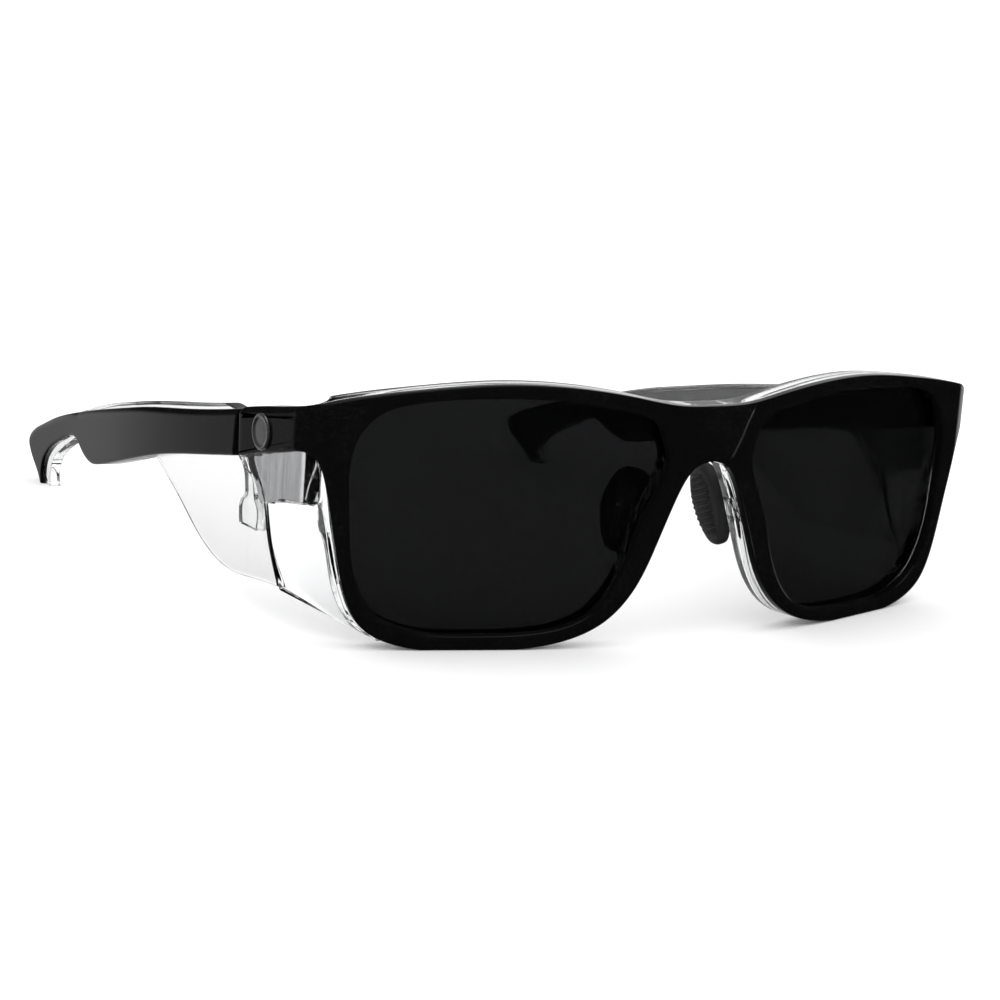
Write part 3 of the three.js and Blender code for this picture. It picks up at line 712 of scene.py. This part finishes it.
LINER_CLEAR = clear_plastic("clear_liner", CLEAR_TONE, CLEAR_ROUGH)
# The clear liner's boss gets painted shade: grey streaks for the darkness seen through it.
painted_boss_shade(LINER_CLEAR)


def liner_far(u):
    """Back face of the clear layer: deeper at the rims than along the endpieces."""
    return RIM_FAR + (ARM_FAR - RIM_FAR) * np.clip((u - PLAN_AT[-1] * 0.7) / 8, 0, 1)


def liner_outline(soft=0.45):
    """Outer edge of the clear layer: as the black one, but lower under the endpiece."""
    top = spline(np.vstack((unrolled(RIM_TOP, 0), unrolled(ENDPIECE_TOP, 1))))
    side = unrolled(RIM_SIDE[1:], 0)
    under = spline(unrolled(LINER_UNDER, 1))
    below = spline(np.vstack((unrolled([LINER_CREASE], 0), side)))
    run = softened(resampled(np.vstack((top, under, below)), 0.1), soft)
    run[:, 1] = np.maximum(run[:, 1], BASE_Z)
    return run


liner_keys = paired([((40.6, 3.6), (63, 13.2)), ((36.6, -0.9), (63.9, 11)), ((35.3, -2.9), (64.2, 9)),
                     ((25.6, -1), (64.45, 5)), ((16.4, 0.7), (64.5, 2))])
liner_grid = rim_grid(
    liner_outline(), opening_from_bridge(opening, start_of_opening), liner_keys,
    {"near": LINER_NEAR, "far": liner_far, "front_a": 0.1, "front_b": 0.12, "back": 0.35,
     "rebate": REBATE, "rebate_depth": REBATE_DEPTH, "top_swell": 0, "faces": 34})
front_liner = mirrored_whole("front_liner_moulding", liner_grid, LINER_CLEAR)

# ---- Lenses ------------------------------------------------------------------------------------
# Smoke-tinted polycarbonate, 2 mm thick, curved with the front and clipped into the rebate of
# the clear layer from behind.

LENS_NEAR, LENS_THICK, LENS_GROW = 2.36, 2.0, 1.0
LENS_TINT = (0.0075, 0.0077, 0.0081)


def smoke_lens():
    """Dark neutral tint with a very smooth hard coat; only fine dust and a few hairlines show."""
    material, tree, shader = new_material("smoke_lens", IOR=POLYCARBONATE_IOR, Transmission_Weight=1.0,
                                          Specular_IOR_Level=0.35)
    marks, _ = marks_in(tree, 0.25, 0.35)
    uneven = marks.outputs["Unevenness"]
    coloured(tree, shader, uneven, shaded(LENS_TINT, 0.94), shaded(LENS_TINT, 1.06))
    roughened(tree, shader, uneven, 0.004, 0.02, worn(tree, marks), 0.05)
    return material


SMOKE = smoke_lens()


def disc_rings(rim, radii, middle):
    """Rings that shrink a closed rim towards its middle, one for each radius from 1 to 0."""
    return middle + (rim[None] - middle) * np.asarray(radii)[:, None, None]


def lens_points(columns=220, rings=36, bevel=0.25):
    """Front disc from its middle outwards, a rounded edge, then the back disc inwards."""
    rim = opening_run(LENS_GROW)[:-1]
    rim = rim[np.linspace(0, len(rim), columns, endpoint=False).astype(int)]
    inward = rim - edge_normals(rim, closed=True) * bevel
    middle = rim.mean(axis=0)
    radii = np.linspace(0.02, 1, rings)
    front = disc_rings(inward, radii, middle)
    back = front[::-1]
    turn = np.linspace(0, math.pi, 9)[1:-1]
    edge = rim[None] - edge_normals(rim, closed=True)[None] * (bevel * (1 - np.sin(turn)))[:, None, None]
    flat = np.concatenate((front, edge, back))
    depth = np.concatenate((np.full(rings, LENS_NEAR),
                            LENS_NEAR + LENS_THICK / 2 * (1 - np.cos(turn)),
                            np.full(rings, LENS_NEAR + LENS_THICK)))
    return bent(flat, np.broadcast_to(depth[:, None], flat.shape[:2]))


def pair(name, rings, material, bodies, node):
    """The left piece from its rings, and its mirror image on the right, both declared. Bodies are
    the left and the right one that they ride."""
    faces = capped_faces(*rings.shape[:2])
    for side, sign, body in zip(("left", "right"), (1, -1), bodies):
        points = rings.reshape(-1, 3) * (sign, 1, 1)
        piece = turned_outward(mesh_piece(f"{name}_{side}", placed(points), faces, [material]))
        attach(piece, body)
        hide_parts(f"{node}_{side}")


ON_FRONT = ("front", "front")
ON_TEMPLES = ("temple_left", "temple_right")
pair("tinted_lens", lens_points(), SMOKE, ON_FRONT, "lens")

# ---- Side wings --------------------------------------------------------------------------------
# Clear wings moulded in one with the inner layer. Each closes the side from the back of the rim
# to the line where the swinging shield begins; they are joined into the layer's mesh.

WING_FRONT = [[68.2, 16.5, 1], [67.1, 16.3, -4], [65.8, 16, -10], [63.95, 15.6, -16],
              [61.5, 15.1, -20.4], [57.4, 13.9, -23.2]]
WING_REAR = [[69.2, 34.9, -3], [69.2, 33.9, -6.6], [69.2, 32.6, -10.4], [69.2, 30.6, -13.9],
             [69.2, 28.2, -16.9]]
WING_THICK = 1.5
WING_START = 2.15
WING_JOINT_ROUND, WING_REAR_ROUND = 0.1, 0.35


def depth_below_plan(points):
    """Distance from the plan of the front face, for points in plan."""
    return np.min(np.linalg.norm(points[..., None, :] - PLAN[::6], axis=-1), axis=-1)


def wing_rings(rows=60, columns=40):
    """Straight lines from the front edge to the rear one, started just behind the black layer;
    each line is a flat band with round ends, its thickness towards the inside."""
    front, rear = spline(WING_FRONT), spline(WING_REAR)
    row = np.linspace(0, 1, rows)
    a = along_run(front, row * lengths(front)[-1])
    b = along_run(rear, row * lengths(rear)[-1])
    steps = np.linspace(0, 1, 120)
    line = a[:, None] + (b - a)[:, None] * steps[None, :, None]
    below = depth_below_plan(line[..., :2])
    first = averaged(steps[np.argmax(below > WING_START, axis=1)], 4)
    a = a + (b - a) * first[:, None]
    near = np.zeros(rows)
    joint, rear_edge = near + WING_JOINT_ROUND, near + WING_REAR_ROUND
    share, inset, depth = band_section(near, near + WING_THICK, joint, rear_edge, joint, rear_edge,
                                       faces=columns)
    along = (b - a) / np.linalg.norm(b - a, axis=1)[:, None]
    points = spanned(a, b, along, -along, share, inset)
    points[..., 0] -= depth
    return points


def joined(piece, others):
    """The piece's mesh with other closed pieces added to it as one solid; the others go."""
    for other in others:
        union = piece.modifiers.new("join", "BOOLEAN")
        union.operation = "UNION"
        union.solver = "MANIFOLD"
        union.object = other
    shaped = bpy.data.meshes.new_from_object(
        piece.evaluated_get(bpy.context.evaluated_depsgraph_get()), preserve_all_data_layers=False)
    piece.modifiers.clear()
    piece.data = shaped
    shaped.polygons.foreach_set("use_smooth", np.ones(len(shaped.polygons), bool))
    for other in others:
        bpy.data.objects.remove(other)


wing_grid = wing_rings()
wings = []
for side in (1, -1):
    wing_points = placed(wing_grid.reshape(-1, 3) * (side, 1, 1))
    wings.append(turned_outward(mesh_piece("wing", wing_points, capped_faces(*wing_grid.shape[:2]))))
joined(front_liner, wings)
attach(front_liner, "front")
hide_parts("front_liner", "side_wing_left", "side_wing_right")

# ---- Temple shells -----------------------------------------------------------------------------
# The black outer layer of each temple, thinner towards the ear, ending in a hooked tip.

TEMPLE_START = 41.8
END_CAP = 0.3
TEMPLE_PLAN = [[72.2, 41.8], [71.8, 60], [70.9, 80], [69.2, 100], [66.8, 121], [64.8, 139], [62.2, 166]]
TAPER_START, TIP_TAPER = 0.45, 0.56
TEMPLE_TOP = [[41.8, 12.2], [50, 10.6], [66.8, 7.6], [84.9, 4.6], [101.5, 1.3], [122.2, -3.1],
              [133.1, -5.7], [146, -9.2], [155, -12.3], [160.6, -14.7], [162.7, -16.9],
              [161.2, -18.8], [157.4, -21.1], [153.6, -23.2], [152.3, -24.35]]
TEMPLE_UNDER = [[42.4, 3.8], [56.3, 1.2], [79, -3.4], [90.9, -6.5], [103.1, -9.8], [111.8, -12],
                [116.7, -12.8], [120.4, -12.5], [124.2, -11.3], [127.3, -10.1], [130.6, -9.9]]
HOOK_BLACK = [[134.2, -10.7], [138.9, -12.4], [144.9, -14.8], [148.8, -17.2], [151, -19.4],
              [151.8, -21.6], [151.7, -23.6], [151.5, -24.35]]
temple_plan = spline(TEMPLE_PLAN)
temple_slope = np.gradient(temple_plan[:, 0], temple_plan[:, 1])


def temple_bent(flat, depth):
    """Places (y, z) points on the temple's outer face and moves them inwards by a depth that
    shrinks along the rear part of the temple."""
    x = np.interp(flat[..., 0], temple_plan[:, 1], temple_plan[:, 0])
    slope = np.interp(flat[..., 0], temple_plan[:, 1], temple_slope)
    along = np.interp(flat[..., 0], temple_plan[:, 1], lengths(temple_plan)) / lengths(temple_plan)[-1]
    taper = 1 - (1 - TIP_TAPER) * np.clip(along - TAPER_START, 0, 1) / (1 - TAPER_START)
    size = np.sqrt(1 + slope ** 2)
    return np.stack((x - depth * taper / size, flat[..., 0] + depth * taper * slope / size,
                     flat[..., 1]), axis=-1)


def strip_rings(upper, lower, keys, near, far, rounds, bend, columns=260, faces=24):
    """Rings of a band between two edges, rounded over at both ends. Rounds are the radii of the
    front's upper and lower corners and of the back; they stay within a third of the band's width."""
    at = np.linspace(0, 1, columns)
    first = END_CAP * (1 - np.cos(np.linspace(0, math.pi / 2, 6)))
    whole = lengths(upper)[-1]
    at = np.unique(np.concatenate((first, at[at * whole > END_CAP][:-1] * whole, whole - first)))
    at_cap = (at < END_CAP + 1e-9) | (at > whole - END_CAP - 1e-9)
    at = at[at_cap | ((at > END_CAP * 1.2) & (at < whole - END_CAP * 1.2))]
    a = along_run(upper, at)
    b = along_run(lower, matched(at, upper, lower, keys))
    width = np.linalg.norm(b - a, axis=1)
    shrink = end_shrink(np.minimum(at, whole - at), END_CAP, width)
    top, under, back = [np.minimum(radius, width * 0.3) for radius in rounds]
    share, inset, depth = band_section(near + shrink, far - shrink, top, under, back, back, faces=faces,
                                       flatten=TOP_FLATTEN)
    across = (b - a) / width[:, None]
    return bend(spanned(a, b, across, -across, share, inset + shrink[:, None]), depth)


temple_upper = spline(TEMPLE_TOP)
black_lower = spline(TEMPLE_UNDER + HOOK_BLACK)
black_keys = [((41.8, 12.2), (42.4, 3.8)), ((66.8, 7.6), (66.8, -1)), ((101.5, 1.3), (101.5, -9.4)),
              ((120, -2.6), (118.6, -12.7)), ((131, -5.2), (128.9, -10)), ((146, -9.2), (142.5, -13.8)),
              ((155, -12.3), (147.6, -16.3)), ((160.6, -14.7), (150.1, -18.3)),
              ((162.7, -16.9), (151.3, -20)), ((161.2, -18.8), (151.75, -21.2)),
              ((157.4, -21.1), (151.8, -22.4)), ((152.3, -24.35), (151.5, -24.35))]
temple_shell_rings = strip_rings(temple_upper, black_lower, black_keys, 0.0, SHELL_THICK,
                                 (1.9, 0.7, SHELL_BACK_ROUND), temple_bent)
pair("temple_shell_moulding", temple_shell_rings, BLACK, ON_TEMPLES, "temple_shell")

# ---- Temple liners -----------------------------------------------------------------------------
# The clear inner layer of each temple. It shows along the upper edge and fills the hook at the tip.

HOOK_CLEAR = [[134, -11.2], [138.4, -13.2], [143.6, -15.6], [147.4, -18], [149.1, -20.2],
              [149.3, -22.4], [148.8, -24.35]]
clear_lower = spline(TEMPLE_UNDER + HOOK_CLEAR)
clear_keys = black_keys[:5] + [
    ((146, -9.2), (141, -14.3)), ((155, -12.3), (145.6, -16.7)), ((160.6, -14.7), (148, -18.6)),
    ((162.7, -16.9), (149.1, -20.4)), ((161.2, -18.8), (149.35, -21.6)),
    ((157.4, -21.1), (149.3, -22.6)), ((152.3, -24.35), (148.8, -24.35))]
LINER_RISE = 1.1
RISE_START, RISE_EASE, RISE_END, RISE_OUT = 46, 6, 136, 30


def risen(outline):
    """The upper edge lifted above the black layer, easing in behind the hinge and out to the tip."""
    y = outline[:, 0]
    ease = eased((y - RISE_START) / RISE_EASE) * eased((RISE_END - y) / RISE_OUT)
    upper_side = np.arange(len(outline)) < np.argmax(y)
    return outline + np.stack((np.zeros_like(y), LINER_RISE * ease * upper_side), axis=-1)


temple_liner_rings = strip_rings(risen(temple_upper), clear_lower, clear_keys, LINER_NEAR, ARM_FAR,
                                 (0.12, 0.12, 0.9), temple_bent)
pair("temple_liner_moulding", temple_liner_rings, CLEAR, ON_TEMPLES, "temple_liner")

# ---- Rear shields ------------------------------------------------------------------------------
# Thin clear shields that hang from the temples and swing with them, cut from flat sheet with a
# rounded lower edge; a tongue along the top sits in the temple's clear layer.

SHIELD_DEPTH, SHIELD_THICK, SHIELD_ROUND = 3.9, 1.2, 0.3
LEAN_END = 0.35
SHIELD_UPPER = [[37.9, 0.2], [42.4, 1.4], [47.5, 3.4], [56.3, 3.6], [79, -1], [88.4, -2.8]]
SHIELD_LOWER = [[29.2, -16.7], [37.7, -17.4], [43.8, -18.1], [50.1, -18.3], [57.2, -17.1], [63.2, -15],
                [73.2, -10.2], [80.5, -7.3], [88.3, -4.2]]
PARTING = [[37.4, -0.9], [36.1, -2.9], [34.8, -6.4], [33.5, -10.2], [31.3, -13.9], [29, -16.9]]


def shield_bent(flat, depth):
    """As the temple's plan behind the hinge, and straight ahead in front of it."""
    rear = temple_bent(np.stack((np.maximum(flat[..., 0], TEMPLE_START), flat[..., 1]), axis=-1), depth)
    rear[..., 1] += np.minimum(flat[..., 0] - TEMPLE_START, 0)
    return rear


def shield_rings(columns=200, faces=44):
    """Rings that run from the parting line to the rear tip. The front edge follows the parting line
    because each ring near it leans with that line, less and less towards the rear."""
    upper, lower, front = spline(SHIELD_UPPER), spline(SHIELD_LOWER), spline(PARTING)
    ease = 1 - np.cos(np.linspace(0, math.pi / 2, 6))
    at = np.unique(np.concatenate((0.004 * ease, np.linspace(0.006, 0.992, columns), 1 - 0.006 * ease)))
    a = along_run(upper, at * lengths(upper)[-1])
    b = along_run(lower, at * lengths(lower)[-1])
    width = np.linalg.norm(b - a, axis=1)
    shrink = end_shrink(np.minimum(at, 1 - at) * lengths(lower)[-1], END_CAP, width)
    near = SHIELD_DEPTH - SHIELD_THICK / 2 + shrink
    far = SHIELD_DEPTH + SHIELD_THICK / 2 - shrink
    radius = np.minimum(SHIELD_ROUND, width * 0.2)
    share, inset, depth = band_section(near, far, radius, radius, radius, radius, faces=faces, corners=4)
    across = (b - a) / width[:, None]
    flat = spanned(a, b, across, -across, share, inset + shrink[:, None])
    bow_at = np.linspace(0, 1, 200)
    bow_line = along_run(front, bow_at * lengths(front)[-1])
    chord = bow_line[0] + (bow_line[-1] - bow_line[0]) * bow_at[:, None]
    bow = (bow_line - chord)[:, 0]
    flat[..., 0] += np.interp(share, bow_at, bow)[None, :] * np.clip(1 - at / LEAN_END, 0, 1)[:, None] ** 2
    return shield_bent(flat, depth)


SHIELD_CLEAR = clear_plastic("clear_sheet", (0.84, 0.845, 0.84), 0.02)
pair("rear_shield_sheet", shield_rings(), SHIELD_CLEAR, ON_TEMPLES, "rear_shield")

# ---- Shield clips ------------------------------------------------------------------------------
# A small moulded post that drops from the temple joint to a block gripping the shield's front edge.

CLIP_REAR_EDGE = [[45.3, 3.3], [42.9, 1.6], [41.9, -1.2], [42, -3], [43.3, -4.2], [43.4, -8.6]]
CLIP_FRONT_EDGE = [[41.8, 3.7], [39.2, 1], [38, -1.6], [37.7, -3], [36.7, -4.2], [36.6, -8.6]]
CLIP_MIDDLE, CLIP_HALF, CLIP_ROUND = 68.3, 1.6, 0.35


def clip_bent(flat, depth):
    """A plate standing along Y, with its depth measured inwards from the outer side."""
    return np.stack((CLIP_MIDDLE + CLIP_HALF - depth, flat[..., 0], flat[..., 1]), axis=-1)


clip_rings = strip_rings(spline(CLIP_REAR_EDGE), spline(CLIP_FRONT_EDGE),
                         list(zip(CLIP_REAR_EDGE, CLIP_FRONT_EDGE)),
                         0.0, 2 * CLIP_HALF, (CLIP_ROUND,) * 3, clip_bent, columns=70, faces=14)
pair("shield_clip_moulding", clip_rings, CLEAR, ON_TEMPLES, "shield_clip")

# ---- Nose pads ---------------------------------------------------------------------------------
# Black soft rubber pads with raised grip ribs slanting across all but the front of the face.

PAD_CENTRE = np.array((9.2, 12.6, -2.4))
PAD_DEPTH, PAD_HEIGHT, PAD_THICK = 11.4, 15.4, 2.8
PAD_ROUND, PAD_CROWN = 1.0, 0.35
RIB_PITCH, RIB_RAISE, RIB_SLANT = 1.08, 0.36, 0.25
RIB_START, RIB_REACH = -3.4, 0.86


def unit(vector):
    """The vector at length one."""
    return np.asarray(vector, float) / np.linalg.norm(vector)


PAD_BACK = unit((0.17, 0.98, -0.08))
PAD_LEAN = np.array((-0.29, -0.19, 0.94))
PAD_UP = unit(PAD_LEAN - PAD_BACK * PAD_LEAN.dot(PAD_BACK))
PAD_OUT = np.cross(PAD_BACK, PAD_UP)


def pad_placed(flat, out):
    """Points (back, up) in the pad's own plane, moved outwards from the nose, as places."""
    return PAD_CENTRE + flat[..., :1] * PAD_BACK + flat[..., 1:] * PAD_UP + out[..., None] * PAD_OUT


def egg(angle, depth, height):
    """Egg-shaped outline: a blunt oval, narrower below the middle."""
    up, across = np.sin(angle), np.cos(angle)
    narrow = 1 - 0.2 * np.maximum(0, -up)
    blunt = np.sign(across) * np.abs(across) ** 0.82
    return np.stack((blunt * depth / 2 * narrow, up * height / 2), axis=-1)


def pad_rings(rings=74, columns=260, back_rings=12):
    """The face from its middle outwards, crowned and ribbed, a round edge, and the flat back."""
    angle = np.linspace(0, 2 * math.pi, columns, endpoint=False)
    rim = egg(angle, PAD_DEPTH, PAD_HEIGHT)
    small = egg(angle, PAD_DEPTH - 2 * PAD_ROUND, PAD_HEIGHT - 2 * PAD_ROUND)
    radii = np.linspace(0.015, 1, rings)
    turn = np.linspace(0, math.pi / 2, 8)[1:]
    turn_back = np.linspace(0, math.pi / 2, 6)[:-1]
    over = np.sin(turn)[:, None, None]
    under = (0.55 + 0.45 * np.cos(turn_back))[:, None, None]
    shrinking = np.linspace(1, 0.02, back_rings)[:, None, None]
    flat = np.concatenate((small * radii[:, None, None], small + (rim - small) * over,
                           small + (rim - small) * under, small * shrinking))
    slant = flat[..., 1] * math.cos(RIB_SLANT) + flat[..., 0] * math.sin(RIB_SLANT)
    wave = 0.5 + 0.5 * np.cos(2 * math.pi * slant / RIB_PITCH)
    rib = np.clip(wave * 1.5 - 0.2, 0, 1)
    strip = np.clip((flat[..., 0] - RIB_START) / 0.5, 0, 1)
    from_middle = np.linalg.norm(flat / (PAD_DEPTH / 2, PAD_HEIGHT / 2), axis=-1)
    ribs = rib * strip * np.clip((RIB_REACH - from_middle) / 0.12, 0, 1)
    half = PAD_THICK / 2
    level = np.concatenate((0.45 - half - PAD_CROWN * (1 - radii ** 2),
                            0.45 - half + PAD_ROUND * (1 - np.cos(turn)),
                            half - 0.5 * (1 - np.sin(turn_back)), np.full(back_rings, half)))
    out = np.broadcast_to(level[:, None], flat.shape[:2]).copy()
    out[:rings] -= RIB_RAISE * ribs[:rings]
    return pad_placed(flat, out)


def soft_rubber():
    """Matt black rubber: fine moulded grain, lighter at specks of dust."""
    material, tree, shader = new_material("soft_rubber", IOR=1.5, Specular_IOR_Level=0.5)
    marks, place = marks_in(tree, 0.2, 0.8)
    grain = noise_node(tree, place, 2400.0, 3.0)
    dusty = times(tree, marks.outputs["Specks"], 0.6)
    coloured(tree, shader, dusty, (0.018, 0.018, 0.0185), (0.06, 0.06, 0.06))
    tree.links.new(ranged(tree, grain, 0.38, 0.62), shader.inputs["Roughness"])
    raised(tree, shader, grain, 0.35, 0.00006)
    return material


RUBBER = soft_rubber()
pair("nose_pad_moulding", pad_rings(), RUBBER, ON_FRONT, "nose_pad")

# ---- Pad carriers ------------------------------------------------------------------------------
# Clear plates moulded on arms from the rims; the rubber pads are pressed onto them.

CARRIER_GAP, CARRIER_THICK, CARRIER_INSET = 0.05, 1.3, 2
ARM_PATH = [[9.9, 5.7, -1.7], [11.4, 8.2, -1.9], [12.4, 11, -2.2], [12.3, 12.6, -2.4]]
ARM_HALF_WIDTH, ARM_HALF_HEIGHT = 0.95, 2.5


def carrier_rings(rings=14, columns=90):
    """An egg-shaped plate behind the pad, with a rounded edge."""
    angle = np.linspace(0, 2 * math.pi, columns, endpoint=False)
    rim = egg(angle, PAD_DEPTH - 2 * CARRIER_INSET, PAD_HEIGHT - 2 * CARRIER_INSET)
    small = rim * 0.94
    turn = np.linspace(0, math.pi, 8)[1:-1]
    disc = small * np.linspace(0.03, 1, rings)[:, None, None]
    flat = np.concatenate((disc, small + (rim - small) * np.sin(turn)[:, None, None], disc[::-1]))
    low = PAD_THICK / 2 + CARRIER_GAP
    out = np.concatenate((np.full(rings, low), low + CARRIER_THICK / 2 * (1 - np.cos(turn)),
                          np.full(rings, low + CARRIER_THICK)))
    return pad_placed(flat, out[:, None])


def arm_rings(columns=24, steps=26):
    """A rounded bar from the back of the rim to the plate, its section a blunt oval."""
    path = spline(ARM_PATH)
    path = along_run(path, np.linspace(0, lengths(path)[-1], steps))
    along = np.gradient(path, axis=0)
    along /= np.linalg.norm(along, axis=1)[:, None]
    up = np.array((0, 0, 1.0))
    side = np.cross(along, up)
    side /= np.linalg.norm(side, axis=1)[:, None]
    angle = np.linspace(0, 2 * math.pi, columns, endpoint=False)
    blunt = lambda value: np.sign(value) * np.abs(value) ** 0.6
    across = ARM_HALF_WIDTH * blunt(np.cos(angle))
    rise = ARM_HALF_HEIGHT * blunt(np.sin(angle))
    return path[:, None] + side[:, None] * across[None, :, None] + up * rise[None, :, None]


def carrier_piece(side, sign):
    """Plate and arm in one mesh."""
    plate, arm = carrier_rings(), arm_rings()
    points = np.vstack((plate.reshape(-1, 3), arm.reshape(-1, 3))) * (sign, 1, 1)
    first = plate.shape[0] * plate.shape[1]
    faces = capped_faces(*plate.shape[:2]) + capped_faces(*arm.shape[:2], first=first)
    piece = turned_outward(mesh_piece(f"pad_carrier_moulding_{side}", placed(points), faces, [CLEAR]))
    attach(piece, "front")
    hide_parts(f"pad_carrier_{side}")


for side, sign in (("left", 1), ("right", -1)):
    carrier_piece(side, sign)

# ---- Plaques -----------------------------------------------------------------------------------
# A plain round trim plaque of brushed metal glued on each endpiece, with a raised border.

PLAQUE_Y, PLAQUE_Z, PLAQUE_LENGTH, PLAQUE_HEIGHT, PLAQUE_GAP = 31.5, 10.1, 6.4, 6.4, 0.02
PLAQUE_PROFILE = [[0.03, 0.3], [0.3, 0.3], [0.6, 0.29], [0.7, 0.28], [0.74, 0.3], [0.78, 0.42],
                  [0.82, 0.49], [0.88, 0.5], [0.93, 0.48], [0.97, 0.42], [1, 0.32], [1, 0.2],
                  [1, 0.03], [0.97, 0], [0.5, 0], [0.03, 0]]


def plaque_rings(columns=96):
    """Rings from the middle outwards, by a profile of shares of the radius and heights: sunk field,
    raised border, rounded edge, back."""
    profile = np.array(PLAQUE_PROFILE)
    angle = np.linspace(0, 2 * math.pi, columns, endpoint=False)
    y = PLAQUE_Y + profile[:, :1] * np.cos(angle) * PLAQUE_LENGTH / 2
    z = PLAQUE_Z + profile[:, :1] * np.sin(angle) * PLAQUE_HEIGHT / 2
    x = HALF_WIDTH + PLAQUE_GAP + np.broadcast_to(profile[:, 1:], y.shape)
    return np.stack((x, y, z), axis=-1)


def brushed_metal(name, colour, rough, stretch):
    """Metal with fine straight grain that varies its colour and roughness, and handling scuffs."""
    material, tree, shader = new_material(name, Metallic=1.0)
    marks, place = marks_in(tree, 0.5, 0.3)
    grain = noise_node(tree, stretched(tree, place, stretch), 1.0, 4.0, 0.6)
    coloured(tree, shader, grain, shaded(colour, 0.8), colour)
    roughened(tree, shader, grain, rough * 0.7, rough * 1.3, marks.outputs["Scuffs"], 0.15)
    raised(tree, shader, grain, 0.15, 0.00003)
    return material


PLAQUE_METAL = brushed_metal("plaque_metal", (0.62, 0.62, 0.63), 0.3, (2600, 260, 2600))
pair("trim_plaque", plaque_rings(), PLAQUE_METAL, ON_FRONT, "plaque")

# ---- Hinges ------------------------------------------------------------------------------------
# Nickel-silver hinges: two leaves with interleaved knuckles on a screw, riveted into the clear
# layers. The shield pins are clear plastic.

HINGE_METAL = brushed_metal("hinge_metal", (0.72, 0.71, 0.68), 0.24, (900, 2400, 2400))
for name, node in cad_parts.items():
    for starts, finish in ((("hinge_", "front_rivet", "temple_rivet"), HINGE_METAL), ("shield_pin", CLEAR)):
        if name.startswith(starts):
            node.data.materials.clear()
            node.data.materials.append(finish)

# ---- Floor and light ---------------------------------------------------------------------------
# A plain pale floor under an even white sky. Mirror rays don't meet the floor, and see a dark
# studio with a few soft cards.

FLOOR_SIZE = 80
FLOOR_HEIGHT = -1e-5
FLOOR_TONE = (0.96, 0.96, 0.96)
SKY_POWER = 1.42
DARK_TONE = 0.01
SIDE_TONE, BEVEL_TONE, FAR_TONE, OVERHEAD_TONE = 0.42, 1.0, 0.5, 0.5
SIDE_CARD = (0.25, 0.95, -0.19)
BEVEL_CARD = (0.96, 0.2, -0.17)
FAR_CARD = (0.74, 0.6, 0.28)


def mirror_rays(tree):
    """1 for rays that left a surface as its reflection, and 0 for those that passed through it."""
    path = tree.nodes.new("ShaderNodeLightPath")
    return times(tree, path.outputs["Is Glossy Ray"], without(tree, path.outputs["Is Transmission Ray"]))


def pale_floor():
    """Matt white sweep with a barely visible mottle."""
    material, tree, shader = new_material("pale_floor", Roughness=1.0, Specular_IOR_Level=0.0)
    mottle = noise_node(tree, tree.nodes.new("ShaderNodeTexCoord").outputs["Object"], 9.0, 4.0)
    coloured(tree, shader, mottle, FLOOR_TONE, shaded(FLOOR_TONE, 1.02))
    return material


def square(name, size, height, material):
    """A square facing up, centred on the origin."""
    edge = size / 2
    corners = [(-edge, -edge, height), (edge, -edge, height), (edge, edge, height), (-edge, edge, height)]
    return mesh_piece(name, corners, [[0, 1, 2, 3]], [material])


floor = square("floor", FLOOR_SIZE, FLOOR_HEIGHT, pale_floor())
floor.visible_glossy = False


def sky_card(tree, direction, centre, wide, narrow, strength):
    """A soft round card in the sky: full strength within the narrow cosine of its centre, fading
    to none at the wide cosine."""
    dot = tree.nodes.new("ShaderNodeVectorMath")
    dot.operation = "DOT_PRODUCT"
    tree.links.new(direction, dot.inputs[0])
    dot.inputs[1].default_value = centre
    return times(tree, smooth_step(tree, dot.outputs["Value"], wide, narrow), strength)


def studio_sky():
    """White for every ray but mirror rays, which see near-black with soft cards: one low behind,
    one beside for the bridge bevel, one behind the wearer's left, and one overhead."""
    world = bpy.data.worlds.new("studio")
    bpy.context.scene.world = world
    world.use_nodes = True
    tree = world.node_tree
    background = tree.nodes["Background"]
    background.inputs["Color"].default_value = (1, 1, 1, 1)
    direction = tree.nodes.new("ShaderNodeTexCoord").outputs["Generated"]
    height = axes(tree, direction)["Z"]
    low = without(tree, smooth_step(tree, height, -0.06, 0.14))
    cards = [times(tree, sky_card(tree, direction, SIDE_CARD, 0.6, 1.0, SIDE_TONE), low),
             sky_card(tree, direction, BEVEL_CARD, 0.93, 0.99, BEVEL_TONE),
             sky_card(tree, direction, FAR_CARD, 0.86, 0.97, FAR_TONE),
             times(tree, smooth_step(tree, height, 0.86, 0.93), OVERHEAD_TONE)]
    mirror = plus(tree, cards[0], DARK_TONE)
    for card in cards[1:]:
        mirror = plus(tree, mirror, card)
    reflected = mirror_rays(tree)
    straight = times(tree, without(tree, reflected), SKY_POWER)
    strength = plus(tree, straight, times(tree, mirror, reflected))
    tree.links.new(strength, background.inputs["Strength"])


studio_sky()
bpy.context.scene.view_settings.view_transform = "Standard"
